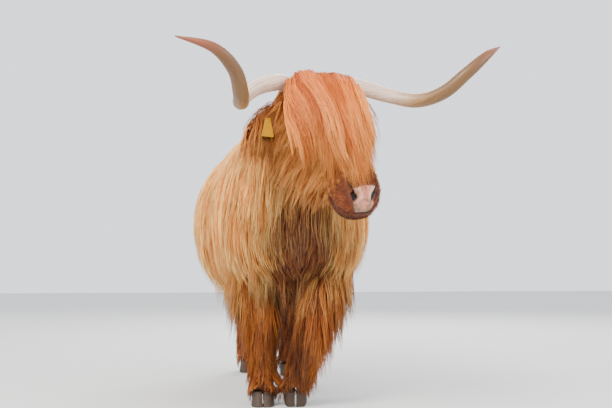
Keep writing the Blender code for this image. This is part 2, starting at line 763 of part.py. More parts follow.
def trunk_pull(place, normal):
    """Down the flanks and a little back, parting along the spine."""
    part = LEFTWARD * math.copysign(1.6 * max(0, normal.z) + 0.25 * min(0, normal.z), place.x)
    return lying(DOWN + BACKWARD * 0.10 + part, normal)


def grow_trunk_coat(coat):
    """Tiers of locks from the fringe under the belly up to the spine, then the rump and the chest."""
    first, last = -0.24, 1.24
    tiers = (  # degrees from the top, number along one side, length, width, lift and bands
        (128, 7, 0.24, 0.175, 0.024, 3),
        (102, 9, 0.37, 0.176, 0.032, 3),
        (73, 9, 0.43, 0.180, 0.032, 3),
        (42, 9, 0.43, 0.180, 0.028, 3),
        (12, 8, 0.38, 0.185, 0.020, 3),
    )
    for tier, (degrees, number, length, width, lift, bands) in enumerate(tiers):
        for side in (-1, 1):
            for i in range(number):
                share = (i + 0.25 + 0.5 * (tier % 2) + chance.uniform(-0.2, 0.2)) / number
                angle = math.radians(degrees + chance.uniform(-7, 7))
                out = LEFTWARD * side * math.sin(angle) + UP * math.cos(angle)
                middle = Vector((0, first + (last - first) * share, TRUNK_AXIS_HEIGHT))
                coat.grow(coat.surface_towards(middle, out), length, width, 0.022, lift, bands)
    rings = (  # whether it faces back, where its middle lies, number, spread to each side and length
        (1, 1.10, 0.82, 3, 60, 0.26),
        (1, 1.10, 0.98, 5, 70, 0.32),
        (-1, -0.05, 0.64, 5, 60, 0.22),
        (-1, -0.05, 0.76, 6, 72, 0.27),
        (-1, -0.05, 0.86, 5, 76, 0.28),
    )
    for facing, y, z, number, spread, length in rings:
        for i in range(number):
            angle = math.radians(spread * (2 * i / (number - 1) - 1) + chance.uniform(-4, 4))
            out = BACKWARD * facing * math.cos(angle) + LEFTWARD * math.sin(angle)
            coat.grow(coat.surface_towards(Vector((0, y, z)), out), length, 0.140, 0.022, 0.034, 3)


def neck_pull(place, normal):
    """Down the sides of the neck and a little back, parting along its crest."""
    part = LEFTWARD * math.copysign(1.5 * max(0, normal.z), place.x - NECK[2][0].x)
    return lying(DOWN + BACKWARD * 0.12 + part, normal)


def grow_neck_coat(coat):
    rows = neck_rows(4)
    tiers = ((152, 0.26, 0.100), (112, 0.30, 0.110), (72, 0.32, 0.105), (28, 0.30, 0.110))
    for tier, (degrees, length, width) in enumerate(tiers):
        for side in (-1, 1):
            for station in (7, 10, 13):
                row = rows[station + tier % 2]
                ahead = (Vector(rows[station + 2][:3]) - Vector(row[:3])).normalized()
                across = (LEFTWARD - ahead * ahead.x).normalized()
                angle = math.radians(degrees + chance.uniform(-6, 6))
                out = across * side * math.sin(angle) + ahead.cross(across) * math.cos(angle)
                coat.grow(coat.surface_towards(Vector(row[:3]), out, 0.6), length, width, 0.022, 0.036, 3)


def head_pull(place, normal):
    """Down the face from the parting at the poll, and back and down on the cheeks."""
    aside = (place - POLL).dot(HEAD_LEFT)
    front = max(0, normal.dot(HEAD_OUTWARD))
    fan = HEAD_LEFT * aside * 2.2
    combed = HEAD_LENGTHWISE * front + (DOWN * 0.9 - HEAD_FORWARD * 0.6) * (1 - front)
    return lying(combed + fan + DOWN * 0.3, normal)


def forelock_pull(place, normal):
    """Down the face and a little apart."""
    aside = (place - POLL).dot(HEAD_LEFT)
    return lying(HEAD_LENGTHWISE + DOWN * (0.25 + 2.5 * abs(aside)) + HEAD_LEFT * aside * 0.8, normal)


def grow_head_coat(coat):
    """The cheeks and the jaw, then the forelock in layers, the last from the crown over the horns."""
    for side in (-1, 1):
        for along, front, length in ((0.10, -0.07, 0.22), (0.21, -0.05, 0.22), (0.19, -0.12, 0.22),
                                     (0.28, -0.11, 0.20), (0.35, -0.08, 0.17), (0.27, -0.18, 0.18),
                                     (0.35, -0.14, 0.16)):
            start = head_point(along, 0.4 * side, front)
            hit = coat.core.ray_cast(start, -HEAD_LEFT * side)
            coat.grow(hit, length, 0.076, 0.014, 0.022, 3, 0.018)
    layers = (  # distance down the face, number, spread to each side, length in the middle and lift
        (0.130, 4, 0.090, 0.30, 0.020),
        (0.070, 5, 0.100, 0.40, 0.032),
        (0.015, 6, 0.088, 0.49, 0.048),
        (-0.024, 5, 0.050, 0.51, 0.064),
    )
    for along, number, spread, length, lift in layers:
        for i in range(number):
            aside = spread * (2 * i / (number - 1) - 1)
            hit = coat.core.ray_cast(head_point(along, aside, 0.4), -HEAD_OUTWARD)
            shorter = 1 - 0.28 * (aside / spread) ** 2
            coat.grow(hit, length * shorter, 0.080, 0.014, lift, 5, 0.018, forelock_pull)


def leg_pull(place, normal):
    """Down the leg, standing off it a little and swept back."""
    return lying(DOWN + BACKWARD * 0.15 + normal * 0.12, normal)


def grow_leg_coat(coat):
    rows = leg_rows(coat.obj.name, 4)
    foreleg_tiers = (  # share of the way down, number round the leg, length, width and lift
        (0.91, 3, 0.100, 0.090, 0.014), (0.72, 4, 0.18, 0.094, 0.020), (0.50, 4, 0.24, 0.105, 0.026),
        (0.28, 3, 0.28, 0.125, 0.030),
    )
    hindleg_tiers = (
        (0.92, 3, 0.095, 0.090, 0.014), (0.75, 4, 0.17, 0.092, 0.020), (0.56, 4, 0.22, 0.105, 0.026),
        (0.36, 4, 0.28, 0.125, 0.030),
    )
    tiers = foreleg_tiers if coat.obj.name.startswith("fore") else hindleg_tiers
    for tier, (share, number, length, width, lift) in enumerate(tiers):
        middle = Vector(rows[int(share * (len(rows) - 1))][:3])
        for i in range(number):
            angle = math.tau * (i + 0.5 * (tier % 2) + chance.uniform(-0.12, 0.12)) / number
            out = LEFTWARD * math.cos(angle) + BACKWARD * math.sin(angle)
            bands = 2 if length < 0.13 else 3
            coat.grow(coat.surface_towards(middle, out, 0.24), length, width, 0.014, lift, bands, 0.014)


def tail_pull(place, normal):
    return lying(DOWN + normal * 0.10, normal)


def grow_tail_coat(coat):
    for height, number, length in ((0.46, 3, 0.25), (0.58, 4, 0.27), (0.72, 3, 0.25), (0.86, 3, 0.24),
                                   (1.00, 3, 0.22)):
        for i in range(number):
            angle = math.tau * (i + chance.uniform(0, 0.4)) / number
            out = LEFTWARD * math.cos(angle) + BACKWARD * math.sin(angle)
            hit = coat.surface_towards(Vector((0.003, 1.372, height)), out, 0.2)
            coat.grow(hit, length, 0.056, 0.013, 0.026, 3, 0.010)


def ear_pull(place, normal):
    return lying(DOWN + normal * 0.05, normal)


def grow_ear_coat(coat):
    """A fringe that hangs from the ear's lower edge and its tip."""
    root, along, _, out = ear_frame(-1 if coat.obj.name == "ear_right" else 1)
    for share, length in ((0.34, 0.13), (0.53, 0.17), (0.72, 0.18), (0.91, 0.15)):
        start = root + along * EAR_LENGTH * share
        rim = coat.core.ray_cast(start + DOWN * 0.3, UP)[0]
        facing = -out if coat.obj.name == "ear_right" else out  # the right ear's tag hangs over its fringe
        coat.grow((rim + UP * EAR_WALL, facing), length, 0.050, 0.008, 0.004, 3, 0)


def core_meshes():
    """Every part of the cow, still whole and without its locks."""
    made = {"torso": trunk_mesh(), "neck": neck_mesh(), "head": skull_mesh(), "tail": tail_mesh(),
            "ear_tag_front": tag_front_mesh(),
            "ear_tag_back": disc_mesh(TAG_BUTTON, -EAR_WALL * 1.5 - 0.004, -EAR_WALL - CUT_GAP)}
    for side, word in ((-1, "right"), (1, "left")):
        made[f"horn_{word}"] = horn_mesh(side)
        made[f"ear_{word}"] = ear_mesh(side)
        made[f"eye_{word}"] = eye_mesh(side)
    for name in LEG_JOINTS:
        made[name] = leg_mesh(name)
        for side, word in ((-1, "right"), (1, "left")):
            made[f"{name}_{word}_claw"] = hoof_mesh(name, side)
            made[f"{name}_{word}_dewclaw"] = dewclaw_mesh(name, side)
    return made


def part_cores(nodes, made):
    """Cuts neighbours clear of each other, and opens the sockets, nostrils, mouth and ear hole."""
    trunk, skull, neck = (swollen(made[name]) for name in ("torso", "head", "neck"))
    boolean(nodes["neck"], [trunk.copy(), skull.copy()], "DIFFERENCE")
    boolean(nodes["tail"], [trunk.copy()], "DIFFERENCE")
    for name in LEG_JOINTS:
        boolean(nodes[name], [trunk.copy()], "DIFFERENCE")
        for word in ("right", "left"):
            boolean(nodes[f"{name}_{word}_dewclaw"], [swollen(made[name])], "DIFFERENCE")
    for word in ("right", "left"):
        boolean(nodes[f"horn_{word}"], [skull.copy()], "DIFFERENCE")
        boolean(nodes[f"ear_{word}"], [skull.copy(), neck.copy()], "DIFFERENCE")
    boolean(nodes["ear_right"], [disc_mesh(TAG_PIN_RADIUS + CUT_GAP, -0.03, 0.03)], "DIFFERENCE")
    sides = (-1, 1)
    boolean(nodes["head"], [eyelid_mesh(side) for side in sides], "UNION")
    openings = [eye_mesh(side, EYE_RADIUS + CUT_GAP) for side in sides]
    openings += [nostril_mesh(side) for side in sides] + [mouth_mesh(made["head"])]
    boolean(nodes["head"], openings, "DIFFERENCE")
    for obj in nodes.values():
        keep_largest_surface(obj)


def grow_coats(nodes, made):
    """Grows each part's locks in turn, clear of the other parts and of the locks they carry."""
    cores = {name: obj.data.copy() for name, obj in nodes.items()}
    plan = [("head", head_pull, grow_head_coat, 0.018, 0.15)]
    plan += [(f"ear_{word}", ear_pull, grow_ear_coat, 0.016, 0.15) for word in ("right", "left")]
    plan.append(("torso", trunk_pull, grow_trunk_coat, 0.020, -0.45))
    plan.append(("neck", neck_pull, grow_neck_coat, 0.050, 0.15))
    plan += [(name, leg_pull, grow_leg_coat, 0.014, 0.15) for name in LEG_JOINTS]
    plan += [("tail", tail_pull, grow_tail_coat, 0.016, 0.15)]
    locks = []
    for name, pull, grow_coat, drape, cling in plan:
        others = [other for other in nodes if other != name]
        coat = Coat(nodes[name], pull, drape, cling, made[name], [made[other] for other in others],
                    [cores[other] for other in others] + locks)
        grow_coat(coat)
        locks += coat.join()


def finish_of(name):
    """The finish that a node wears."""
    for words, finish in ((("claw",), "hoof"), (("horn",), "horn"), (("eye",), "eye"), (("tag",), "tag"),
                          (("head", "ear"), "forelock_coat"), (("leg",), "leg_coat")):
        if any(word in name for word in words):
            return finish
    return "coat"


def material(finish):
    made = bpy.data.materials.get(finish) or bpy.data.materials.new(finish)
    colour, roughness = FINISHES[finish]
    made.use_nodes = True
    shader = made.node_tree.nodes["Principled BSDF"]
    shader.inputs["Base Color"].default_value = (*colour, 1)
    shader.inputs["Roughness"].default_value = roughness
    shader.inputs["Metallic"].default_value = 0
    return made


def stand_on_origin(nodes):
    """Hangs every node from one empty, with the middle of the cow's footprint box at the origin."""
    corners = [vertex.co for obj in nodes.values() for vertex in obj.data.vertices]
    low = Vector([min(corner[axis] for corner in corners) for axis in range(3)])
    high = Vector([max(corner[axis] for corner in corners) for axis in range(3)])
    stand = bpy.data.objects.new("highland_cow", None)
    cow.objects.link(stand)
    stand.location = (-(low.x + high.x) / 2, -(low.y + high.y) / 2, -low.z)
    for obj in nodes.values():
        obj.parent = stand
    print("size", *(round(side, 3) for side in high - low), "low corner", *(round(v, 4) for v in low))


def build():
    for obj in list(bpy.data.objects):
        bpy.data.objects.remove(obj)
    for collection in (cow, cutters):
        bpy.context.scene.collection.children.link(collection)
    made = core_meshes()
    nodes = {}
    for name, mesh in made.items():
        nodes[name] = bpy.data.objects.new(name, mesh.copy())
        cow.objects.link(nodes[name])
    part_cores(nodes, made)
    grow_coats(nodes, made)
    for name, obj in nodes.items():
        obj.data.materials.clear()
        obj.data.materials.append(material(finish_of(name)))
        obj.data.shade_smooth()
        obj.data.set_sharp_from_angle(angle=SHARP_ANGLE)
    stand_on_origin(nodes)
    print("triangles", sum(len(obj.data.polygons) for obj in nodes.values()))


build()
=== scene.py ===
# %% [markdown]
# # A Highland cow, life size
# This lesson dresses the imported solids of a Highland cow: one skin under the whole coat, and then the coat
# itself as many thousands of thin tapered strands. Lengths are in metres. The cow faces -Y and its left
# side is +X.

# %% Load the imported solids
import math
from collections import namedtuple

import bpy
import numpy as np
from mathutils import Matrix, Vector
from mathutils.bvhtree import BVHTree


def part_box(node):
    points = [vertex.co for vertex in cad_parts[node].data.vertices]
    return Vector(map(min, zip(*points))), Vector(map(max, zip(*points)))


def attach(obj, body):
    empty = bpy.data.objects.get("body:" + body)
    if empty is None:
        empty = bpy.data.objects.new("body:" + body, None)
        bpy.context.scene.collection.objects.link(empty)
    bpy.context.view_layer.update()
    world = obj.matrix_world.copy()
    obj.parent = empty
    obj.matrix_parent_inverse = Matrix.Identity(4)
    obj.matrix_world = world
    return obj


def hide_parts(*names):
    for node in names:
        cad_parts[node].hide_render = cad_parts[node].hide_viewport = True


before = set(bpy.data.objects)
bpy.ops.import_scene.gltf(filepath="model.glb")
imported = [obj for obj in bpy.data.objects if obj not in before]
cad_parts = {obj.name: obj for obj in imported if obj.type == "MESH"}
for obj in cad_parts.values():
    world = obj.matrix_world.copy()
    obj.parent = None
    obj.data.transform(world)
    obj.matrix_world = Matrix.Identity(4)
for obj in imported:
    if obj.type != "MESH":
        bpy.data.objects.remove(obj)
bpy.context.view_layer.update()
chance = np.random.default_rng(1207)

# %% [markdown]
# ## Small tools
# Everything here is worked out on whole arrays of points at once, because a coat has far too many strands
# to handle one by one. A form is a grid of rings: its rows run along the limb and its columns round it.

# %% Vectors and smooth lines
UP = np.array((0.0, 0.0, 1.0))
DOWN = -UP
BACKWARD = np.array((0.0, 1.0, 0.0))
LEFTWARD = np.array((1.0, 0.0, 0.0))


def unit(vectors):
    return vectors / np.maximum(np.linalg.norm(vectors, axis=-1, keepdims=True), 1e-9)


def dot(a, b):
    return np.sum(a * b, axis=-1)


def smooth_rows(rows, steps):
    """The rows of numbers with more between them, on a smooth line through every row."""
    rows = np.array(rows, float)
    padded = np.concatenate([rows[:1], rows, rows[-1:]])
    made = []
    for a, b, c, d in zip(padded, padded[1:], padded[2:], padded[3:]):
        for t in np.arange(steps) / steps:
            made.append(0.5 * (2 * b + (c - a) * t + (2 * a - 5 * b + 4 * c - d) * t ** 2
                               + (3 * b - a - 3 * c + d) * t ** 3))
    return np.array([*made, rows[-1]])


def ring(centre, across, up, sides, squareness=2.0, pear=0.0):
    """Points round a centre. Across and up are half axes, and pear widens the lower half."""
    angle = math.tau * (np.arange(sides) + 0.5) / sides
    c = np.copysign(np.abs(np.cos(angle)) ** (2 / squareness), np.cos(angle))[:, None]
    s = np.copysign(np.abs(np.sin(angle)) ** (2 / squareness), np.sin(angle))[:, None]
    return centre + across * c * (1 - pear * s) + up * s


def rings_along(rows, sides):
    """Rings square to a path. Each row holds x, y, z, half width and half depth."""
    path = rows[:, :3]
    along = unit(np.gradient(path, axis=0))
    across = unit(LEFTWARD - along * dot(along, LEFTWARD)[:, None])
    up = np.cross(along, across)
    return np.array([ring(p, a * w, u * h, sides) for p, a, u, w, h in
                     zip(path, across, up, rows[:, 3], rows[:, 4])])


def handedness(grid):
    """One where a form's rings make faces that look outward, and minus one where they look inward."""
    ahead = np.diff(grid, axis=0)
    aside = (np.roll(grid, -1, axis=1) - grid)[:-1]
    outward = np.sum(np.cross(aside, ahead) * (grid[:-1] - grid.mean(axis=(0, 1))))
    return 1 if outward > 0 else -1


def surface(grid, around, along):
    """Places on a form and the normals there, for shares of the way round it and along it."""
    rows, sides = grid.shape[:2]

    def at(u, v):
        x, y = (u % 1.0) * sides, np.clip(v, 0, 1) * (rows - 1)
        i, j = x.astype(int) % sides, np.minimum(y.astype(int), rows - 2)
        fx, fy = (x - np.floor(x))[:, None], (y - j)[:, None]
        k = (i + 1) % sides
        low = grid[j, i] * (1 - fx) + grid[j, k] * fx
        high = grid[j + 1, i] * (1 - fx) + grid[j + 1, k] * fx
        return low * (1 - fy) + high * fy

    step_u, step_v = 0.5 / sides, 0.5 / rows
    normal = unit(np.cross(at(around + step_u, along) - at(around - step_u, along),
                           at(around, along + step_v) - at(around, along - step_v)))
    return at(around, along), normal * handedness(grid)


def shrunk(grid, depth):
    """The form with its surface moved in by a depth, one number or one for each ring."""
    rows, sides = grid.shape[:2]
    v, u = np.meshgrid(np.arange(rows) / (rows - 1), np.arange(sides) / sides, indexing="ij")
    normal = surface(grid, u.ravel(), v.ravel())[1].reshape(grid.shape)
    return grid - normal * np.broadcast_to(depth, rows)[:, None, None]


def grid_faces(grid, first=0):
    """Quads over a form, with a cap at each end."""
    rows, sides = grid.shape[:2]
    index = first + np.arange(rows * sides).reshape(rows, sides)
    right = np.roll(index, -1, axis=1)
    quads = np.stack([index[:-1], right[:-1], right[1:], index[1:]], axis=-1).reshape(-1, 4).tolist()
    caps = [index[0][::-1].tolist(), index[-1].tolist()]
    way_round = handedness(grid)
    return [face[::way_round] for face in quads + caps]


def stacked(grids):
    """The points and faces of several forms in one list each."""
    points, faces = [], []
    for grid in grids:
        faces += grid_faces(grid, len(points))
        points += grid.reshape(-1, 3).tolist()
    return points, faces


def tree_of(grids):
    """A search tree over several forms."""
    return BVHTree.FromPolygons(*stacked(grids))


def nearest(tree, places, within=10.0):
    """The closest point of a tree to each place, the normal there, and where none is near."""
    found = [tree.find_nearest(p, within) for p in places.tolist()]
    missed = np.array([f[0] is None for f in found])
    points = np.array([f[0] or (0, 0, 0) for f in found], float)
    normals = np.array([f[1] or (0, 0, 1) for f in found], float)
    return points, normals, missed


print("tools ready")

# %% [markdown]
# ## The body's sizes
# These are the named sizes that the solids are made from. The skin and the coat start from the same
# numbers, so they lie where the solids lie. The one thing that is measured is how far the solids were
# moved to stand on the origin: an eye tells it.

# %% The trunk, neck, legs and tail
TRUNK = (  # how far back, half width, top, underside; a rounded end before and behind
    (-0.345, 0.020, 0.800, 0.770),
    (-0.335, 0.055, 0.850, 0.725),
    (-0.315, 0.085, 0.890, 0.690),
    (-0.260, 0.175, 1.000, 0.610),
    (-0.150, 0.250, 1.110, 0.560),
    (0.000, 0.290, 1.180, 0.545),
    (0.160, 0.305, 1.205, 0.545),
    (0.360, 0.340, 1.180, 0.530),
    (0.600, 0.372, 1.165, 0.520),
    (0.820, 0.368, 1.170, 0.545),
    (1.000, 0.335, 1.180, 0.620),
    (1.140, 0.280, 1.170, 0.700),
    (1.240, 0.210, 1.130, 0.780),
    (1.300, 0.110, 1.060, 0.880),
    (1.318, 0.050, 1.010, 0.930),
    (1.322, 0.015, 0.985, 0.955),
)
TRUNK_AXIS_HEIGHT = 0.86
TRUNK_SQUARENESS = 2.5
TRUNK_PEAR = 0.09  # how much wider the trunk is low down than high up
TRUNK_SIDES = 72
LEG_SIDES = 32
NECK_SIDES = 48
TAIL_SIDES = 20
PATH_STEPS = 4  # points on a leg's line for each bone
NECK = (
    (0.000, 0.040, 0.950, 0.215, 0.235),
    (0.002, -0.110, 1.000, 0.205, 0.230),
    (0.008, -0.220, 1.060, 0.182, 0.208),
    (0.012, -0.310, 1.125, 0.152, 0.182),
    (0.016, -0.395, 1.190, 0.105, 0.130),
)
LEG_JOINTS = {
    "foreleg_right": ((-0.170, -0.010, 0.800), (-0.168, 0.010, 0.640), (-0.140, -0.020, 0.385),
                      (-0.134, -0.004, 0.140), (-0.134, -0.034, 0.062)),
    "foreleg_left": ((0.172, -0.020, 0.800), (0.148, -0.060, 0.640), (0.076, -0.165, 0.400),
                     (0.024, -0.080, 0.172), (0.002, -0.084, 0.086)),
    "hindleg_right": ((-0.175, 1.040, 0.940), (-0.170, 1.010, 0.700), (-0.126, 1.235, 0.465),
                      (-0.112, 1.280, 0.145), (-0.110, 1.252, 0.062)),
    "hindleg_left": ((0.175, 1.020, 0.940), (0.170, 0.935, 0.700), (0.114, 1.110, 0.455),
                     (0.096, 1.090, 0.145), (0.092, 1.060, 0.062)),
}
FORELEG_SECTIONS = (  # place counted in joints, half width, half depth
    (0.0, 0.090, 0.150), (1.0, 0.088, 0.118), (1.5, 0.068, 0.083), (1.85, 0.056, 0.064),
    (2.1, 0.053, 0.059), (2.4, 0.043, 0.048), (2.75, 0.041, 0.045), (3.0, 0.047, 0.051),
    (3.5, 0.045, 0.047), (4.0, 0.051, 0.055),
)
HINDLEG_SECTIONS = (
    (0.0, 0.130, 0.200), (0.6, 0.122, 0.185), (1.0, 0.104, 0.160), (1.5, 0.074, 0.110),
    (1.85, 0.052, 0.078), (2.1, 0.047, 0.062), (2.5, 0.043, 0.049), (2.8, 0.043, 0.047),
    (3.0, 0.048, 0.052), (3.5, 0.045, 0.047), (4.0, 0.052, 0.056),
)
TAIL = (
    (0.000, 1.180, 1.080, 0.050, 0.050),
    (0.000, 1.300, 1.085, 0.048, 0.048),
    (0.002, 1.365, 1.000, 0.038, 0.038),
    (0.004, 1.380, 0.850, 0.031, 0.031),
    (0.004, 1.375, 0.680, 0.027, 0.027),
    (0.002, 1.368, 0.520, 0.022, 0.022),
    (0.000, 1.365, 0.420, 0.012, 0.012),
)
FOOT_PITCH = {"foreleg_left": math.radians(38)}
FOOT_TURN = {"foreleg_right": math.radians(-4), "foreleg_left": math.radians(-6),
             "hindleg_right": math.radians(-8), "hindleg_left": math.radians(8)}


def trunk_form():
    rows = smooth_rows(TRUNK, 5)
    return np.array([ring(np.array((0, y, (top + low) / 2)), LEFTWARD * wide, UP * (top - low) / 2,
                          TRUNK_SIDES, TRUNK_SQUARENESS, TRUNK_PEAR) for y, wide, top, low in rows])


def leg_form(name):
    sections = smooth_rows(FORELEG_SECTIONS if name.startswith("fore") else HINDLEG_SECTIONS, 6)
    path = smooth_rows(LEG_JOINTS[name], PATH_STEPS)
    at = np.minimum(sections[:, 0] * PATH_STEPS, len(path) - 1)
    centres = np.stack([np.interp(at, np.arange(len(path)), path[:, i]) for i in range(3)], axis=1)
    return rings_along(np.concatenate([centres, sections[:, 1:]], axis=1), LEG_SIDES)


forms = {"torso": trunk_form(), "neck": rings_along(smooth_rows(NECK, 8), NECK_SIDES),
         "tail": rings_along(smooth_rows(TAIL, 8), TAIL_SIDES)}
for leg in LEG_JOINTS:
    forms[leg] = leg_form(leg)
print("forms", {name: grid.shape[:2] for name, grid in forms.items()})

# %% [markdown]
# A cow's head is a long block that narrows to the muzzle. It is measured from the poll, the point between
# the horns, in directions of its own: down the face, to its left and out of it. So the head is turned and
# tilted as one, with its horns, eyes and ears.

# %% The head's own directions and sizes
POLL = np.array((0.026, -0.446, 1.317))
HEAD_TURN = math.radians(26)
HEAD_TILT = math.radians(5.2)
FACE_SLOPE = math.radians(53)
LEVEL_LEFT = np.array((math.cos(HEAD_TURN), math.sin(HEAD_TURN), 0))
HEAD_FORWARD = np.array((math.sin(HEAD_TURN), -math.cos(HEAD_TURN), 0))
HEAD_LEFT = LEVEL_LEFT * math.cos(HEAD_TILT) + UP * math.sin(HEAD_TILT)
HEAD_UP = UP * math.cos(HEAD_TILT) - LEVEL_LEFT * math.sin(HEAD_TILT)
HEAD_LENGTHWISE = HEAD_FORWARD * math.cos(FACE_SLOPE) - HEAD_UP * math.sin(FACE_SLOPE)
HEAD_OUTWARD = HEAD_FORWARD * math.sin(FACE_SLOPE) + HEAD_UP * math.cos(FACE_SLOPE)
SKULL = (  # distance down the face, half width, front, underside, slant
    (-0.060, 0.055, -0.020, -0.105, 0),
    (-0.038, 0.088, 0.022, -0.150, 0),
    (0.000, 0.106, 0.044, -0.188, 0),
    (0.075, 0.115, 0.050, -0.218, 0),
    (0.155, 0.115, 0.046, -0.228, 0),
    (0.240, 0.103, 0.038, -0.216, 0),
    (0.330, 0.088, 0.028, -0.190, 0),
    (0.412, 0.081, 0.020, -0.168, 0.05),
    (0.470, 0.087, 0.016, -0.160, 0.12),
    (0.520, 0.089, 0.004, -0.156, 0.24),
    (0.548, 0.077, -0.014, -0.142, 0.32),
    (0.562, 0.048, -0.036, -0.116, 0.36),
    (0.566, 0.015, -0.060, -0.090, 0.36),
)
SKULL_STEPS = 14
SKULL_SIDES = 150
SKULL_SQUARENESS = 2.6
EYE = (0.155, 0.102, 0.008)  # down the face, aside and out of it
EYE_RADIUS = 0.021
MOUTH_FRONT = -0.104  # how far behind the face's plane the mouth's slit lies
MOUTH_ALONG = 0.450  # where the mouth's corner is, down the face


def head_point(along, aside, front):
    """The place so far down the face, to its left and out of it."""
    return POLL + HEAD_LENGTHWISE * along + HEAD_LEFT * aside + HEAD_OUTWARD * front


def head_places(points):
    """How far down the face, aside and out of it each point lies."""
    away = points - POLL
    return dot(away, HEAD_LENGTHWISE), dot(away, HEAD_LEFT), dot(away, HEAD_OUTWARD)


def skull_form():
    """The head as rings down the face, slanted with the muzzle at its end."""
    grid = []
    for along, wide, front, under, slant in smooth_rows(SKULL, SKULL_STEPS):
        upward = (HEAD_OUTWARD - HEAD_LENGTHWISE * slant) * (front - under) / 2
        grid.append(ring(head_point(along, 0, (front + under) / 2), HEAD_LEFT * wide, upward,
                         SKULL_SIDES, SKULL_SQUARENESS))
    return np.array(grid)


forms["head"] = skull_form()
low, high = (np.array(corner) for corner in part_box("eye_left"))
STAND = (low + high) / 2 - head_point(*EYE)
print("the solids stand", np.round(STAND, 4), "from the design's own zero")

# %% [markdown]
# An ear is a leaf of skin and gristle, rolled up at its root and open towards its tip. It is made as one
# closed form, up its front and down its back, because it then has a real thickness and a cup.

# %% The ears
EAR_ROOT = (0.045, 0.088, -0.075)
EAR_LENGTH = 0.205
EAR_WIDTH = 0.118
EAR_WALL = 0.007
EAR_DROOP = {-1: math.radians(30), 1: math.radians(7)}
EAR_SWEEP_BACK = math.radians(6)
SIDES = {"right": -1, "left": 1}


def ear_frame(side):
    """An ear's root, and the ways along it, across its blade and out of its cup."""
    root = head_point(EAR_ROOT[0], EAR_ROOT[1] * side, EAR_ROOT[2])
    level = HEAD_LEFT * side * math.cos(EAR_SWEEP_BACK) - HEAD_FORWARD * math.sin(EAR_SWEEP_BACK)
    along = level * math.cos(EAR_DROOP[side]) - HEAD_UP * math.sin(EAR_DROOP[side])
    out = HEAD_FORWARD - HEAD_UP * 0.15
    out = unit(out - along * dot(out, along))
    return root, along, np.cross(out, along) * side, out


def ear_form(side):
    """The rim, the cup and the back of an ear as one closed form: up its front and down its back."""
    root, along, across, out = ear_frame(side)
    grid = []
    for share in np.linspace(0, 1, 25):
        breadth = EAR_WIDTH * (0.64 + 1.72 * share - 2.06 * share ** 2)
        roll = math.radians(40 + 160 * (1 - share) ** 2.5)
        radius = breadth / roll
        turn = np.linspace(-0.5, 0.5, 16) * roll
        wall = EAR_WALL * 0.5 * (1 - 0.55 * share)
        row = []
        for angle, r in [(a, radius - wall) for a in turn] + [(a, radius + wall) for a in turn[::-1]]:
            row.append(root + along * EAR_LENGTH * share + across * r * math.sin(angle)
                       + out * (radius - r * math.cos(angle)))
        grid.append(row)
    return np.array(grid)


# %% [markdown]
# The horns leave the poll almost level, bend forward and end in points that sweep up. Each is a curved
# line with a radius at every place, as if a bar were bent and tapered. The ridges of growth near the root
# are in the form, because they show at its edge.

# %% The horns' own lines
HORN = (  # across, forward and up from the poll, and the radius there
    (0.040, -0.042, -0.008, 0.0290),
    (0.130, -0.032, 0.014, 0.0335),
    (0.240, -0.013, -0.006, 0.0325),
    (0.345, 0.050, -0.051, 0.0310),
    (0.413, 0.145, -0.084, 0.0298),
    (0.469, 0.246, -0.064, 0.0284),
    (0.532, 0.325, 0.004, 0.0255),
    (0.621, 0.353, 0.072, 0.0185),
    (0.730, 0.311, 0.113, 0.0035),
    (0.7325, 0.3098, 0.1138, 0.0008),
)
HORN_SIDES = 48


def horn_form(side):
    """A horn as fine rings with ridges of growth near the root, and the share of its length at each."""
    rows = smooth_rows(HORN, 24)
    path = POLL + HEAD_LEFT * side * rows[:, :1] + HEAD_FORWARD * rows[:, 1:2] + HEAD_UP * rows[:, 2:3]
    share = np.linspace(0, 1, len(rows))
    young = np.clip(1 - share / 0.45, 0, 1)
    ridges = 1 + 0.016 * young * np.sin(share * 190) + 0.006 * np.sin(share * 47)
    radius = (rows[:, 3] * ridges)[:, None]
    return rings_along(np.concatenate([path, radius, radius * 0.96], axis=1), HORN_SIDES), share


for word, side in SIDES.items():
    forms[f"ear_{word}"] = ear_form(side)
    forms[f"horn_{word}"] = horn_form(side)[0]
trees = {name: tree_of([grid]) for name, grid in forms.items()}
print("forms", sorted(forms))

# %% [markdown]
# ## Colours and finishes
# Hair gets its life from many small differences: each strand is a little lighter or darker than the next,
# roots are darker than tips, and clumps differ from each other. The strands carry three numbers, tone,
# along and shade, and one shader group turns them into colour. Shade is mostly painted shade: it mixes in a
# dark colour where the chest, throat, belly, low muzzle and inner legs lie in shadow. It is partly darker
# hair too, at the chest and in slow drifts. The group is used by every coat with its own colours.


# %% A shader group for strands
def colour(red, green, blue):
    """A colour from 0 to 255 on a screen, as the linear colour that a shader needs."""
    return tuple((v / 12.92 if v <= 0.04045 else ((v + 0.055) / 1.055) ** 2.4)
                 for v in (red / 255, green / 255, blue / 255)) + (1.0,)


def new_group(name, inputs, outputs):
    """An empty shader group with named sockets, and its input and output nodes."""
    group = bpy.data.node_groups.new(name, "ShaderNodeTree")
    for socket, kind, value in inputs:
        made = group.interface.new_socket(socket, in_out="INPUT", socket_type=kind)
        made.default_value = value
    for socket, kind in outputs:
        group.interface.new_socket(socket, in_out="OUTPUT", socket_type=kind)
    return group, group.nodes.new("NodeGroupInput"), group.nodes.new("NodeGroupOutput")


def add(tree, kind, **settings):
    """A new node with some of its settings and input values."""
    node = tree.nodes.new(kind)
    for name, value in settings.items():
        if name.startswith("in_"):
            node.inputs[int(name[3:]) if name[3:].isdigit() else name[3:]].default_value = value
        else:
            setattr(node, name, value)
    return node


def mix(tree, factor, a, b):
    """A colour mix node; factor, a and b are sockets or values."""
    node = add(tree, "ShaderNodeMix", data_type="RGBA", blend_type="MIX")
    for socket, value in zip((node.inputs[0], node.inputs[6], node.inputs[7]), (factor, a, b)):
        if isinstance(value, bpy.types.NodeSocket):
            tree.links.new(value, socket)
        else:
            socket.default_value = value
    return node.outputs[2]


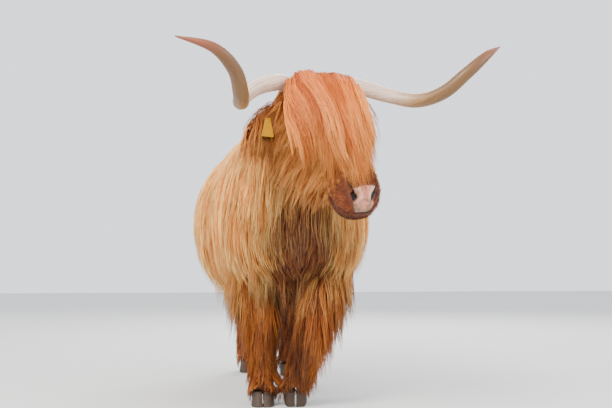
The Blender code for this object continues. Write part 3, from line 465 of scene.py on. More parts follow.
def maths(tree, operation, *values, clamp=False):
    """The output of a maths node; each value is a socket or a number."""
    node = add(tree, "ShaderNodeMath", operation=operation, use_clamp=clamp)
    for socket, value in zip(node.inputs, values):
        if isinstance(value, bpy.types.NodeSocket):
            tree.links.new(value, socket)
        else:
            socket.default_value = value
    return node.outputs[0]


def attribute(tree, name):
    """One of the numbers stored on the points of a mesh."""
    return add(tree, "ShaderNodeAttribute", attribute_name=name).outputs["Fac"]


strand_group, into, out_of = new_group(
    "Strand colour",
    [("Root", "NodeSocketColor", (0.1, 0.05, 0.02, 1)), ("Dark", "NodeSocketColor", (0.3, 0.15, 0.06, 1)),
     ("Light", "NodeSocketColor", (0.7, 0.4, 0.2, 1)), ("Tip", "NodeSocketColor", (0.8, 0.5, 0.3, 1)),
     ("Shade", "NodeSocketColor", (0.1, 0.04, 0.01, 1))],
    [("Color", "NodeSocketColor"), ("Roughness", "NodeSocketFloat")])
tone = attribute(strand_group, "tone")
along = attribute(strand_group, "along")
body = mix(strand_group, tone, into.outputs["Dark"], into.outputs["Light"])
towards_tip = maths(strand_group, "MULTIPLY", maths(strand_group, "POWER", along, 2.0), tone)
body = mix(strand_group, towards_tip, body, into.outputs["Tip"])
near_root = maths(strand_group, "SUBTRACT", 0.9, maths(strand_group, "MULTIPLY", along, 5.0), clamp=True)
body = mix(strand_group, near_root, body, into.outputs["Root"])
# Painted shade: the shade number mixes each coat's Shade colour over the hair's own colour.
body = mix(strand_group, attribute(strand_group, "shade"), body, into.outputs["Shade"])
strand_group.links.new(body, out_of.inputs["Color"])
rough = add(strand_group, "ShaderNodeMapRange", in_3=0.62, in_4=0.48)
strand_group.links.new(tone, rough.inputs[0])
strand_group.links.new(rough.outputs[0], out_of.inputs["Roughness"])
print("group", strand_group.name, "with", len(strand_group.nodes), "nodes")

# %% [markdown]
# Bare skin, horn, hoof and plastic are never one even tone. One more group makes a soft noise, coarse or
# fine: a mask that mixes their colours, and a roughness that drifts between two bounds.

# %% A shader group for mottled surfaces
mottle_group, into, out_of = new_group(
    "Mottle",
    [("Vector", "NodeSocketVector", (0, 0, 0)), ("Scale", "NodeSocketFloat", 45.0),
     ("Detail", "NodeSocketFloat", 5.0), ("Grain", "NodeSocketFloat", 0.5),
     ("Smoothest", "NodeSocketFloat", 0.3), ("Roughest", "NodeSocketFloat", 0.6)],
    [("Mask", "NodeSocketFloat"), ("Roughness", "NodeSocketFloat")])
noise = add(mottle_group, "ShaderNodeTexNoise")
for name, socket in {"Vector": "Vector", "Scale": "Scale", "Detail": "Detail", "Grain": "Roughness"}.items():
    mottle_group.links.new(into.outputs[name], noise.inputs[socket])
rough = add(mottle_group, "ShaderNodeMapRange")
for name, number in (("Smoothest", 3), ("Roughest", 4)):
    mottle_group.links.new(into.outputs[name], rough.inputs[number])
mottle_group.links.new(noise.outputs["Fac"], rough.inputs[0])
mottle_group.links.new(noise.outputs["Fac"], out_of.inputs["Mask"])
mottle_group.links.new(rough.outputs[0], out_of.inputs["Roughness"])


def mottled(tree, vector, **values):
    """The mottle group placed in a material, with values of its own."""
    node = add(tree, "ShaderNodeGroup", node_tree=mottle_group)
    for socket, value in values.items():
        node.inputs[socket].default_value = value
    tree.links.new(vector, node.inputs["Vector"])
    return node


print("group", mottle_group.name, "with", len(mottle_group.nodes), "nodes")

# %% The five coats' colours


def new_material(name, **shader_values):
    """A material with a Principled BSDF, its node tree and its shader."""
    made = bpy.data.materials.new(name)
    made.use_nodes = True
    shader = made.node_tree.nodes["Principled BSDF"]
    for socket, value in shader_values.items():
        shader.inputs[socket.replace("_", " ")].default_value = value
    return made, made.node_tree, shader


def coat_material(name, root, dark, light, tip, shade):
    """A coat's material: the strand group with the colours of one part of the body."""
    made, tree, shader = new_material(name)
    shader.inputs["Specular IOR Level"].default_value = 0.22
    shader.inputs["Sheen Weight"].default_value = 0.04
    shader.inputs["Sheen Roughness"].default_value = 0.4
    node = add(tree, "ShaderNodeGroup", node_tree=strand_group)
    for socket, value in (("Root", root), ("Dark", dark), ("Light", light), ("Tip", tip), ("Shade", shade)):
        node.inputs[socket].default_value = value
    tree.links.new(node.outputs["Color"], shader.inputs["Base Color"])
    tree.links.new(node.outputs["Roughness"], shader.inputs["Roughness"])
    return made


# The last colour of each coat is its painted shade, a dark brown for hair that lies in shadow.
materials = {
    "coat": coat_material("flank_hair", colour(120, 58, 14), colour(208, 112, 32), colour(255, 182, 86),
                          colour(255, 224, 144), colour(84, 32, 5)),
    "forelock": coat_material("forelock_hair", colour(70, 24, 4), colour(176, 74, 14), colour(240, 132, 46),
                              colour(255, 180, 92), colour(80, 30, 6)),
    "cheek": coat_material("cheek_hair", colour(62, 26, 6), colour(140, 70, 20), colour(212, 128, 54),
                           colour(244, 178, 98), colour(70, 28, 6)),
    "leg": coat_material("leg_hair", colour(40, 12, 2), colour(102, 42, 6), colour(178, 92, 24),
                         colour(214, 134, 56), colour(54, 18, 3)),
    "muzzle": coat_material("muzzle_hair", colour(48, 16, 4), colour(70, 26, 8), colour(156, 74, 28),
                            colour(208, 122, 60), colour(54, 20, 6)),
}
print("coat finishes", sorted(materials))

# %% [markdown]
# ## The skin
# Under a long coat the skin is hardly seen, but every gap between locks shows it, and on the muzzle and
# round the eyes it is bare. The solids' forms give it, moved in by the depth of the undercoat. The head's
# form is fine enough to carry nostrils, lips and the nose pad as small moves of its points.

# %% Move the head's points for nose, mouth and brow
SKIN_DEPTH = {"torso": 0.006, "neck": 0.006, "tail": 0.003}
LEG_SKIN_DEPTH = 0.003
PAD_HALF_WIDTH = 0.054
# The centre of each swelling or hollow down the face, aside and out of it, and its half axes.
NOSTRIL_OPENING = ((0.540, 0.044, -0.044), (0.040, 0.0150, 0.0180))
NOSTRIL_BEND = ((0.535, 0.0530, -0.030), (0.040, 0.0110, 0.0160))
NOSTRIL_SLOT = ((0.527, 0.0580, -0.014), (0.040, 0.0070, 0.0200))
NOSTRIL_RIM = ((0.540, 0.043, -0.038), (0.034, 0.022, 0.028))
BROW = ((0.125, 0.095, 0.030), (0.040, 0.030, 0.040))
NOSTRIL_DEPTH = 0.021
RIM_HEIGHT = 0.0040
BROW_HEIGHT = 0.010
SOCKET_DEPTH = 0.006
MOUTH_DEPTH = 0.0065
UPPER_LIP_HEIGHT = 0.0045
LOWER_LIP_HEIGHT = 0.0030
LIP_GROOVE_DEPTH = 0.0024


def hill(distance, width):
    """A smooth bump: one at no distance, and near zero beyond the width."""
    return np.exp(-(distance / width) ** 2)


def step(value, low, high):
    """Zero below the low value and one above the high one, smooth between them."""
    share = np.clip((value - low) / (high - low), 0, 1)
    return share * share * (3 - 2 * share)


def blob(places, centre, half_axes):
    """Distance from a centre in the head's own directions, counted in half axes."""
    return np.sqrt(sum(((v - c) / h) ** 2 for v, c, h in zip(places, centre, half_axes)))


def shaped_head(grid):
    """The skull form with the flesh of the face, and masks for its bare skin."""
    rows, sides = grid.shape[:2]
    v, u = np.meshgrid(np.arange(rows) / (rows - 1), np.arange(sides) / sides, indexing="ij")
    points, normal = surface(grid, u.ravel(), v.ravel())
    along, aside, front = head_places(points)
    out = np.abs(aside)
    either = (along, out, front)
    inward = np.interp(along, (-0.06, 0.30, 0.42, 0.48), (0.006, 0.005, 0.002, 0.0005))
    opening = hill(blob(either, *NOSTRIL_OPENING), 0.90)
    bend = hill(blob(either, *NOSTRIL_BEND), 0.90)
    slot = hill(blob(either, *NOSTRIL_SLOT), 0.90)
    hole = np.maximum(np.maximum(opening, bend), slot * 0.85)
    rim = hill(blob(either, *NOSTRIL_RIM) - 1.1, 0.35)
    inward += NOSTRIL_DEPTH * hole - RIM_HEIGHT * rim * (1 - hole)
    inward -= BROW_HEIGHT * hill(blob(either, *BROW), 1.0)
    for side in (-1, 1):
        socket = np.linalg.norm(points - head_point(EYE[0], EYE[1] * side, EYE[2]), axis=1)
        inward += SOCKET_DEPTH * hill(socket, 0.026)
    muzzle = step(along, 0.47, 0.53)
    mouth = hill(front - MOUTH_FRONT - 0.10 * np.maximum(MOUTH_ALONG - along, 0), 0.0045)
    mouth *= step(along, MOUTH_ALONG - 0.03, MOUTH_ALONG)
    inward += MOUTH_DEPTH * mouth
    inward -= UPPER_LIP_HEIGHT * hill(front - MOUTH_FRONT - 0.018, 0.012) * muzzle
    inward -= LOWER_LIP_HEIGHT * hill(front - MOUTH_FRONT + 0.016, 0.010) * muzzle
    above_mouth = step(front, MOUTH_FRONT, MOUTH_FRONT + 0.01)
    inward += LIP_GROOVE_DEPTH * hill(aside, 0.0025) * muzzle * above_mouth * step(-front, 0.04, 0.05)
    width = np.interp(front, (MOUTH_FRONT, MOUTH_FRONT + 0.03, -0.04, -0.005),
                      (0.024, 0.043, PAD_HALF_WIDTH, 0.050))
    pad = step(width - out, -0.006, 0.006) * step(front, MOUTH_FRONT + 0.002, MOUTH_FRONT + 0.010)
    pad *= step(along - 0.10 * out, 0.512, 0.524)
    masks = {"nostril_shade": step(hole, 0.22, 0.55), "mouth_slit_shade": np.clip(mouth * 1.5, 0, 1) * step(along, 0.44, 0.48),
             "facial": np.ones(len(along)), "rim": rim * pad * step(front, -0.060, -0.035),
             "low": pad * step(-front, 0.030, 0.085)}
    masks["bare"] = np.maximum(pad, step(hole, 0.25, 0.5))
    return (points - normal * inward[:, None]).reshape(grid.shape), masks


skins = {name: shrunk(grid, SKIN_DEPTH.get(name, LEG_SKIN_DEPTH)) for name, grid in forms.items()
         if name.startswith(("torso", "neck", "tail", "fore", "hind"))}
skins["head"], head_masks = shaped_head(forms["head"])
print("head skin points", skins["head"].shape[0] * skins["head"].shape[1])

# %% [markdown]
# Lids lie over the edge of the eyeball, which looks stuck on without them. They are a bent ring of skin,
# a little thicker above than below.

# %% Lids round the eyes
def eye_looks(side):
    """Which way an eye looks, and the ways up and across the face of it."""
    looks = unit(HEAD_LEFT * side + HEAD_OUTWARD * 0.45)
    upward = unit(-HEAD_LENGTHWISE + looks * dot(HEAD_LENGTHWISE, looks))
    return looks, upward, np.cross(looks, upward)


def lid_form(side):
    """The rim of both lids: an almond round the eye, thicker above, that covers the ball's edge."""
    looks, upward, across = eye_looks(side)
    centre = head_point(EYE[0], EYE[1] * side, EYE[2])
    grid = []
    for turn in np.linspace(0, math.tau, 49):
        c, s = math.cos(turn), math.sin(turn)
        place = centre + across * c * EYE_RADIUS * 1.16 + upward * s * EYE_RADIUS * 0.80
        place = place + looks * (EYE_RADIUS * (0.56 - 0.28 * c * c))
        thick = 0.0050 + 0.0016 * max(s, 0)
        outward = unit(across * c + upward * s)
        grid.append(ring(place + outward * thick * 0.5, outward * thick, looks * thick * 0.85, 12))
    return np.array(grid)


print("points in each lid's rim", lid_form(1).shape[0] * lid_form(1).shape[1])

# %% [markdown]
# On a cow the trunk, neck, legs and tail run into each other without a seam. A remesh in small cubes
# melts those forms into one skin, and smoothing softens the hollows where they meet. Head, ears and lids
# keep their finer grids and are added to the same piece.

# %% Join the skin
BODY_VOXEL = 0.011
BODY = ("torso", "neck", "tail", *LEG_JOINTS)
FLESH = (*BODY, "head", "ear_right", "ear_left")
LEG_TOP = 0.62  # the height where the undercoat turns to the legs' brown
LID_BARENESS = 0.6


def new_mesh(name, points, faces):
    """A new smooth piece at the cow's place, riding on the one rigid body."""
    mesh = bpy.data.meshes.new(name)
    mesh.from_pydata((np.asarray(points) + STAND).tolist(), [], faces)
    mesh.shade_smooth()
    mesh.update()
    made = bpy.data.objects.new(name, mesh)
    bpy.context.scene.collection.objects.link(made)
    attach(made, "root")
    return made


def add_numbers(mesh, name, values):
    """Stores one number for each point of a mesh, for its material to read."""
    mesh.attributes.new(name, "FLOAT", "POINT").data.foreach_set("value", np.asarray(values, np.float32))


def melted(grids, voxel, smoothing):
    """Several forms as one closed skin, with soft hollows where they meet."""
    mesh = bpy.data.meshes.new("melting")
    points, faces = stacked(grids)
    mesh.from_pydata(points, [], faces)
    body = bpy.data.objects.new("melting", mesh)
    bpy.context.scene.collection.objects.link(body)
    remesh = body.modifiers.new("remesh", "REMESH")
    remesh.mode = "VOXEL"
    remesh.voxel_size = voxel
    soften = body.modifiers.new("soften", "SMOOTH")
    soften.factor, soften.iterations = 0.5, smoothing
    done = body.evaluated_get(bpy.context.evaluated_depsgraph_get()).to_mesh()
    points = np.array([v.co for v in done.vertices])
    faces = [list(face.vertices) for face in done.polygons]
    bpy.data.objects.remove(body)
    return points, faces


points, faces = melted([skins[name] for name in BODY], BODY_VOXEL, 8)
numbers = {key: [0.0] * len(points) for key in ("bare", "nostril_shade", "mouth_slit_shade", "rim", "low", "facial")}
points = points.tolist()
face_parts = [("head", skins["head"])] + [(f"ear_{word}", forms[f"ear_{word}"]) for word in SIDES]
for name, grid in face_parts + [("lid", lid_form(side)) for side in (-1, 1)]:
    faces += grid_faces(grid, len(points))
    points += grid.reshape(-1, 3).tolist()
    for key, values in numbers.items():
        blank = np.full(grid.shape[0] * grid.shape[1], LID_BARENESS * (name == "lid" and key == "bare"))
        values += list(head_masks[key] if name == "head" else blank)
skin = new_mesh("skin", points, faces)
for key, values in numbers.items():
    add_numbers(skin.data, key, values)
add_numbers(skin.data, "leggy", np.clip((LEG_TOP - np.array(points)[:, 2]) / 0.1, 0, 1))
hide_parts(*FLESH)
print("skin points", len(points))

# %% [markdown]
# The skin's material shows dark hair roots over most of the body, which are also painted shade deep in
# the coat, and pink mottled skin on the nose pad. Painted shade makes the nostrils nearly black and the
# slit of the mouth dark. The pebbles of the nose pad are a noise in the bump.

# %% The skin's material
made, tree, shader = new_material("skin_and_undercoat")
coords = add(tree, "ShaderNodeTexCoord").outputs["Object"]
mottle = mottled(tree, coords, Scale=75.0, Detail=5.0)
patches = mottled(tree, coords, Scale=34.0, Detail=3.0)
# The dark hair roots on the skin are also painted shade: the dark deep in the coat between its locks.
body_roots_and_depth_shade = mix(tree, mottle.outputs["Mask"], colour(112, 56, 18), colour(176, 104, 46))
leg_roots_and_depth_shade = mix(tree, mottle.outputs["Mask"], colour(44, 20, 10), colour(104, 56, 32))
base = mix(tree, attribute(tree, "leggy"), body_roots_and_depth_shade, leg_roots_and_depth_shade)
face_roots_and_depth_shade = mix(tree, mottle.outputs["Mask"], colour(50, 18, 5), colour(120, 56, 20))
base = mix(tree, attribute(tree, "facial"), base, face_roots_and_depth_shade)
pinks = mix(tree, mottle.outputs["Mask"], colour(150, 66, 40), colour(232, 156, 124))
greys = mix(tree, mottle.outputs["Mask"], colour(84, 66, 42), colour(140, 108, 74))
spots = add(tree, "ShaderNodeMapRange", in_1=0.46, in_2=0.66)
lower = maths(tree, "MULTIPLY", attribute(tree, "low"), 0.14)
tree.links.new(maths(tree, "ADD", patches.outputs["Mask"], lower), spots.inputs[0])
pad = mix(tree, spots.outputs[0], pinks, greys)
pad = mix(tree, attribute(tree, "rim"), pad, colour(230, 166, 140))
ragged = add(tree, "ShaderNodeMapRange", in_1=0.42, in_2=0.60)
edge = maths(tree, "MULTIPLY", maths(tree, "SUBTRACT", mottle.outputs["Mask"], 0.5), 0.9)
tree.links.new(maths(tree, "ADD", attribute(tree, "bare"), edge), ragged.inputs[0])
base = mix(tree, ragged.outputs[0], base, pad)
# Painted shade: the slit of the mouth is dark.
base = mix(tree, attribute(tree, "mouth_slit_shade"), base, colour(52, 30, 24))
# Painted shade: the nostrils' hollows are nearly black.
base = mix(tree, attribute(tree, "nostril_shade"), base, colour(20, 8, 7))
tree.links.new(base, shader.inputs["Base Color"])
wet = add(tree, "ShaderNodeMapRange", in_3=0.75, in_4=0.38)
tree.links.new(attribute(tree, "bare"), wet.inputs[0])
tree.links.new(wet.outputs[0], shader.inputs["Roughness"])
pebbles = add(tree, "ShaderNodeTexVoronoi", in_Scale=260.0)
tree.links.new(coords, pebbles.inputs["Vector"])
bump = add(tree, "ShaderNodeBump", in_Strength=0.25, in_Distance=0.001)
tree.links.new(pebbles.outputs["Distance"], bump.inputs["Height"])
tree.links.new(bump.outputs["Normal"], shader.inputs["Normal"])
skin.data.materials.append(made)
print("skin's material has", len(tree.nodes), "nodes")

# %% [markdown]
# ## How hair is combed
# Each clump of hair starts as one guide line. It leaves its root, is pulled the way the coat lies, slides
# over the body at its own height, and is pushed off the parts that it hangs against. Then a clump of
# strands follows each guide: spread wide at the roots and drawn together at the tip.

# %% Guides
Guides = namedtuple("Guides", "points normals share tone shade")
FLOOR_CLEARANCE = 0.010
ROOT_DEPTH = 0.005
ROOT_SPACING = {"torso": 0.034, "neck": 0.028, "foreleg": 0.018, "hindleg": 0.024,
                "tail": 0.017, "head": 0.019, "muzzle": 0.0068, "ear": 0.012}
DEEPEST = 0.08  # a hair this far inside another part is on its far side, and stays


def lying(pull, normal):
    """The way hair lies: as it is pulled, but never into the skin."""
    return unit(pull - normal * np.minimum(0, dot(pull, normal))[:, None])


def even_roots(grid, spacing, start=0.0, stop=1.0):
    """Shares round and along a form for roots that cover it evenly."""
    rows = len(grid)
    steps = np.linalg.norm(np.diff(grid, axis=0), axis=2).mean(axis=1)
    reach = np.concatenate([[0], np.cumsum(steps)])
    around, lengthwise = [], []
    for number, at in enumerate(np.arange(start * reach[-1] + spacing / 2, stop * reach[-1], spacing)):
        row = np.interp(at, reach, np.arange(rows))
        loop = grid[int(round(row))]
        sides = np.linalg.norm(np.roll(loop, -1, axis=0) - loop, axis=1)
        run = np.concatenate([[0], np.cumsum(sides)])
        count = max(int(run[-1] / spacing), 4)
        spots = (np.arange(count) + 0.5 * (number % 2) + chance.uniform(-0.35, 0.35, count)) / count % 1.0
        around += (np.interp(spots * run[-1], run, np.arange(len(loop) + 1)) / len(loop)).tolist()
        shares = (row + chance.uniform(-0.4, 0.4, count) * spacing / max(steps.mean(), 1e-6)) / (rows - 1)
        lengthwise += np.clip(shares, 0, 1).tolist()
    return np.array(around), np.array(lengthwise)


def others_than(name):
    """A search tree of every form but the named one."""
    return tree_of([grid for other, grid in forms.items() if other != name])


def comb(name, place, normal, share, length, lift, pull, stray=0.09, drape=0.016, cling=0.15, bands=7,
         sink=0.004, rise=0.5):
    """Guide lines over the named form, from roots on its skin. The pull may change from root to tip."""
    count = len(place)
    core, beneath = trees[name], others_than(name)
    points, normals = [place - normal * sink], [normal]
    place = place + normal * 0.002
    wander = chance.uniform(-stray, stray, (count, 3))
    way = unit(normal * 0.8 + pull(place, normal, 0.0))
    for band in range(1, bands + 1):
        done = band / bands
        way = unit(way * 0.3 + pull(place, normal, done) * 0.7 + wander)
        place = place + way * (length / bands)[:, None]
        near, normal, _ = nearest(core, place)
        wanted = lift * done ** rise
        height = dot(place - near, normal)
        lower = np.where(normal[:, 2] > cling, np.maximum(0, height - wanted * 1.2), 0)
        place = place - normal * lower[:, None]
        height = height - lower
        place = place + normal * np.maximum(0, wanted - height)[:, None]
        near, aside, missed = nearest(beneath, place, DEEPEST)
        away = place - near
        inside = dot(away, aside) < 0
        close = np.linalg.norm(away, axis=1) < drape
        pushed = np.where(inside[:, None], near + aside * drape, near + unit(away) * drape)
        place = np.where(((inside | close) & ~missed)[:, None], pushed, place)
        place[:, 2] = np.maximum(place[:, 2], FLOOR_CLEARANCE)
        points.append(place)
        normals.append(normal)
    return Guides(np.stack(points, 1), np.stack(normals, 1), share, chance.uniform(0, 1, count),
                  np.zeros(count))


def outside_others(name, place):
    """Which roots show, and don't lie deeper than a root may inside another part of the body."""
    near, normal, missed = nearest(others_than(name), place, 0.5)
    return missed | (dot(place - near, normal) > -ROOT_DEPTH)


def some(guides, chosen):
    """The chosen guides alone."""
    return Guides(*(values[chosen] for values in guides))


print("each guide holds", Guides._fields)

# %% [markdown]
# Long hair hangs in thin tapered strands. Each is made as a small rod with three sides and a tip, because
# three sides are the fewest that have a body from every side.

# %% One strand's triangles
CORNERS = 3


def strand_faces(total, rings):
    """Triangles of many three-sided strands, each with rings of corners and one tip."""
    one = []
    for low in range(rings - 1):
        for i in range(CORNERS):
            a, b = low * CORNERS + i, low * CORNERS + (i + 1) % CORNERS
            one += [(a, b, b + CORNERS), (a, b + CORNERS, a + CORNERS)]
    last = (rings - 1) * CORNERS
    one += [(last + i, last + (i + 1) % CORNERS, last + CORNERS) for i in range(CORNERS)]
    starts = np.arange(total) * (last + CORNERS + 1)
    return (np.array(one)[None] + starts[:, None, None]).reshape(-1, CORNERS)


print("triangles in strands of 2, 3, 4 rings", [len(strand_faces(1, rings)) for rings in (2, 3, 4)])

# %% [markdown]
# The tag hangs in front of the hair of the ear and has to stay in sight. So strands that would cover its
# plate are laid behind it.

# %% Room for the ear tag
tag = np.array([v.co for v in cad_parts["ear_tag_front"].data.vertices]) - STAND
tag_middle = tag.mean(axis=0)
tag_axes = np.linalg.svd(tag - tag_middle)[2]
tag_axes[2] *= np.sign(dot(tag_axes[2], HEAD_FORWARD))
TAG_REACH = np.abs((tag - tag_middle) @ tag_axes.T).max(axis=0)
TAG_CLEARANCE = 0.007
TAG_FRONT = 0.060  # hair further than this before the tag is another lock's, and stays


def behind_tag(points):
    """Hair that would cover the ear tag is laid behind its plate."""
    away = (points - tag_middle) @ tag_axes.T
    covers = (np.abs(away[..., 0]) < TAG_REACH[0] + TAG_CLEARANCE) & (away[..., 2] > -TAG_CLEARANCE)
    covers &= (np.abs(away[..., 1]) < TAG_REACH[1] + TAG_CLEARANCE) & (away[..., 2] < TAG_FRONT)
    back = np.where(covers, away[..., 2] + TAG_CLEARANCE + TAG_REACH[2], 0)
    return points - tag_axes[2] * back[..., None]


print("the tag reaches", np.round(TAG_REACH, 4), "from its middle")

# %% [markdown]
# A clump is a handful of strands that start apart and come together at the tip. Their lines are worked
# out for a whole piece at once, because a piece holds a great many of them.

# %% The strands' lines round their guides
def between_knots(values, pick, knot, part):
    """Points or normals between the knots of each strand's guide."""
    rows = pick[:, None]
    return values[rows, knot] * (1 - part) + values[rows, knot + 1] * part


def strand_lines(guides, each, spread, tip_spread, rings, wave, turns, reach, fly):
    """Each strand's guide, its place in the clump, its line, and the ways across it and out of the coat."""
    count, knots = guides.points.shape[:2]
    pick = np.repeat(np.arange(count), each)
    total = len(pick)
    turn, radius = chance.uniform(0, math.tau, total), np.sqrt(chance.uniform(0, 1, total))
    aside, ahead = radius * np.cos(turn), radius * np.sin(turn)
    higher = chance.uniform(-0.2, 1.0, total)
    share = np.linspace(0, 1, rings + 1)[None, :]
    s = share * np.minimum(1, chance.uniform(*reach, total) ** 0.7)[:, None]
    knot = np.minimum((s * (knots - 1)).astype(int), knots - 2)
    part = (s * (knots - 1) - knot)[..., None]
    middle = between_knots(guides.points, pick, knot, part)
    normal = unit(between_knots(guides.normals, pick, knot, part))
    along = unit(np.gradient(middle, axis=1))
    across = unit(np.cross(along, normal) + 1e-6)
    normal = np.cross(across, along)
    loose = chance.uniform(0.35, 1.6, count)[pick] + np.where(chance.uniform(0, 1, total) < fly, 1.5, 0)
    wide = spread * (1 - s) ** 0.8 + tip_spread * loose[:, None] * s
    phase = chance.uniform(0, math.tau, count)[pick] + chance.normal(0, 0.6, total)
    swing = wave * np.minimum(s * 2, 1) * np.sin(math.tau * turns * s + phase[:, None])
    middle = middle + across * (aside[:, None] * wide + swing)[..., None]
    middle = middle + along * (ahead[:, None] * spread * (1 - s))[..., None]
    middle = middle + normal * (higher[:, None] * wide * 0.35)[..., None]
    middle[..., 2] = np.maximum(middle[..., 2], FLOOR_CLEARANCE * 0.6)
    return pick, np.stack([aside, ahead], axis=1), middle, across, normal


def strand_points(middle, across, normal, width):
    """Three corners round a strand's line at every ring, thin at the root and tip, and the tip itself."""
    total, stops = middle.shape[:2]
    share = np.linspace(0, 1, stops)[None, :]
    thickness = 0.60 + 0.85 * share - 1.30 * share ** 2
    half = (width / 2 * chance.uniform(0.6, 1.3, total)[:, None] * thickness)[:, :-1, None]
    body, side, out = middle[:, :-1], across[:, :-1], normal[:, :-1]
    corners = np.stack([body + side * half - out * half * 0.25, body + out * half * 0.75,
                        body - side * half - out * half * 0.25], axis=2)
    return np.concatenate([corners.reshape(total, -1, 3), middle[:, -1:]], axis=1)


print("root spread falls to", round((1 - 0.5) ** 0.8, 2), "of itself half way down a strand")

# %% [markdown]
# The strands of one piece become one mesh. Every point carries the three numbers for its colour, and
# every strand has a small patch of its own on the unwrap named OFBake.

# %% A coat piece from its guides
PATCH = 0.003  # the size of a strand's patch on the unwrap
made_triangles = []


def strand_mesh(name, points, index):
    """A smooth mesh of many strands, from their points and triangles."""
    mesh = bpy.data.meshes.new(name)
    mesh.vertices.add(points.shape[0] * points.shape[1])
    mesh.vertices.foreach_set("co", (points + STAND).astype(np.float32).ravel())
    mesh.loops.add(index.size)
    mesh.loops.foreach_set("vertex_index", index.ravel().astype(np.int32))
    mesh.polygons.add(len(index))
    mesh.polygons.foreach_set("loop_start", np.arange(0, index.size, CORNERS, dtype=np.int32))
    mesh.update(calc_edges=True)
    mesh.shade_smooth()
    return mesh


def root_patches(share, places, lengthwise, rings):
    """A small patch for each strand on the unwrap of the skin's own shape, where its root is."""
    low, high = share.min(axis=0), share.max(axis=0)
    root = (share - low) / np.maximum(high - low, 1e-6)
    root += places
    root = np.clip(root, 0, 1) * (1 - PATCH)
    patch = np.stack([np.append(np.tile((0.0, 0.5, 1.0), rings), 0.5), lengthwise], axis=1) * PATCH
    return (root[:, None] + patch[None]).reshape(-1, 2)


def strand_piece(name, guides, finish, each, spread, tip_spread, width, rings=4, wave=0.003, turns=1.5,
                 reach=(0.55, 1.0), scale=(2.2, 1.5), fly=0.06):
    """One coat piece: thin three-sided strands that follow their guides."""
    pick, offsets, middle, across, normal = strand_lines(guides, each, spread, tip_spread, rings, wave,
                                                         turns, reach, fly)
    if finish == "cheek":
        middle = behind_tag(middle)
    points = strand_points(middle, across, normal, width)
    total, each_points = points.shape[:2]
    index = strand_faces(total, rings)
    mesh = strand_mesh(name, points, index)
    lightness = np.clip(guides.tone[pick] * 0.9 - 0.05 + chance.uniform(-0.15, 0.35, total), 0, 1)
    add_numbers(mesh, "tone", np.repeat(lightness, each_points))
    shaded = np.clip(guides.shade[pick] * chance.uniform(0.7, 1.15, total), 0, 1)
    add_numbers(mesh, "shade", np.repeat(shaded, each_points))
    lengthwise = np.append(np.repeat(np.linspace(0, 1, rings + 1)[:-1], CORNERS), 1.0)
    add_numbers(mesh, "along", np.tile(lengthwise, total))
    unwrap = root_patches(guides.share[pick], offsets * spread / np.array(scale), lengthwise, rings)
    corner_places = unwrap[index.ravel()].astype(np.float32)
    mesh.uv_layers.new(name="OFBake").data.foreach_set("uv", corner_places.ravel())
    mesh.materials.append(materials[finish])
    made = bpy.data.objects.new(name, mesh)
    bpy.context.scene.collection.objects.link(made)
    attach(made, "root")
    made_triangles.append(len(index))
    print(name, len(guides.points), "clumps", total, "strands", len(index), "triangles")
    return made


print("coat finishes to choose from", sorted(materials))

# %% [markdown]
# ## The long coat of the trunk
# The hair of the flanks falls from a parting along the spine in long straight strands. It is longest from
# the back down, and short under the belly. The pieces are the front, the middle and the rear of each
# side, so that none is too heavy.


# %% Trunk
def trunk_pull(place, normal, done):
    """Down both sides from the parting, and tucked in lower down."""
    lean = 1.6 * np.maximum(0, normal[:, 2]) + 0.25 * np.minimum(0, normal[:, 2])
    tuck = 0.45 * step(0.74 - place[:, 2], 0.0, 0.22)
    sign = np.sign(place[:, 0] + crossing * (done < 0.3))
    return lying(DOWN + BACKWARD * 0.10 + LEFTWARD * (sign * (lean - tuck))[:, None], normal)


def roots_of(name):
    """Places, normals and shares of the roots of one part that aren't inside another."""
    around, lengthwise = even_roots(skins[name], ROOT_SPACING[name.split("_")[0]])
    place, normal = surface(skins[name], around, lengthwise)
    seen = outside_others(name, place)
    return place[seen], normal[seen], np.stack([around, lengthwise], axis=1)[seen]


def lifts(most, count):
    """Heights of the coat's layers, from close to the skin out to the most."""
    return most * (0.25 + 0.75 * chance.uniform(0, 1, count))


def patchy(place, scale, seed):
    """A slow wave over the body from zero to one, for lengths and tones that drift from place to place."""
    waves = np.sin(place[:, 1] * scale + seed)
    waves = waves + np.sin(place[:, 1] * scale * 2.3 + place[:, 2] * 5 + seed * 2)
    return 0.5 + 0.25 * waves * np.cos(place[:, 0] * 3 + seed)


place, normal, share = roots_of("torso")
crossing = chance.uniform(-0.06, 0.06, len(place))
angle = np.degrees(np.arctan2(np.abs(place[:, 0]), place[:, 2] - TRUNK_AXIS_HEIGHT))
length = np.interp(angle, (0, 12, 42, 73, 102, 128, 150, 180), (.46, .54, .56, .47, .35, .24, .15, .12))
length *= (np.interp(place[:, 1], (-0.34, -0.15, 0.02), (0.75, 0.85, 1.0))
           * chance.uniform(0.68, 1.08, len(length)))
length *= 0.88 + 0.2 * patchy(place, 11, 1.0)
most = np.interp(angle, (0, 40, 75, 110, 140), (0.030, 0.046, 0.060, 0.056, 0.034))
over = np.interp(angle, (20, 60, 110), (1.0, 0.85, 0.55))
trunk_guides = comb("torso", place, normal, share, length, lifts(most, len(place)) * over, trunk_pull,
                    stray=0.055, cling=-0.45, drape=0.020)
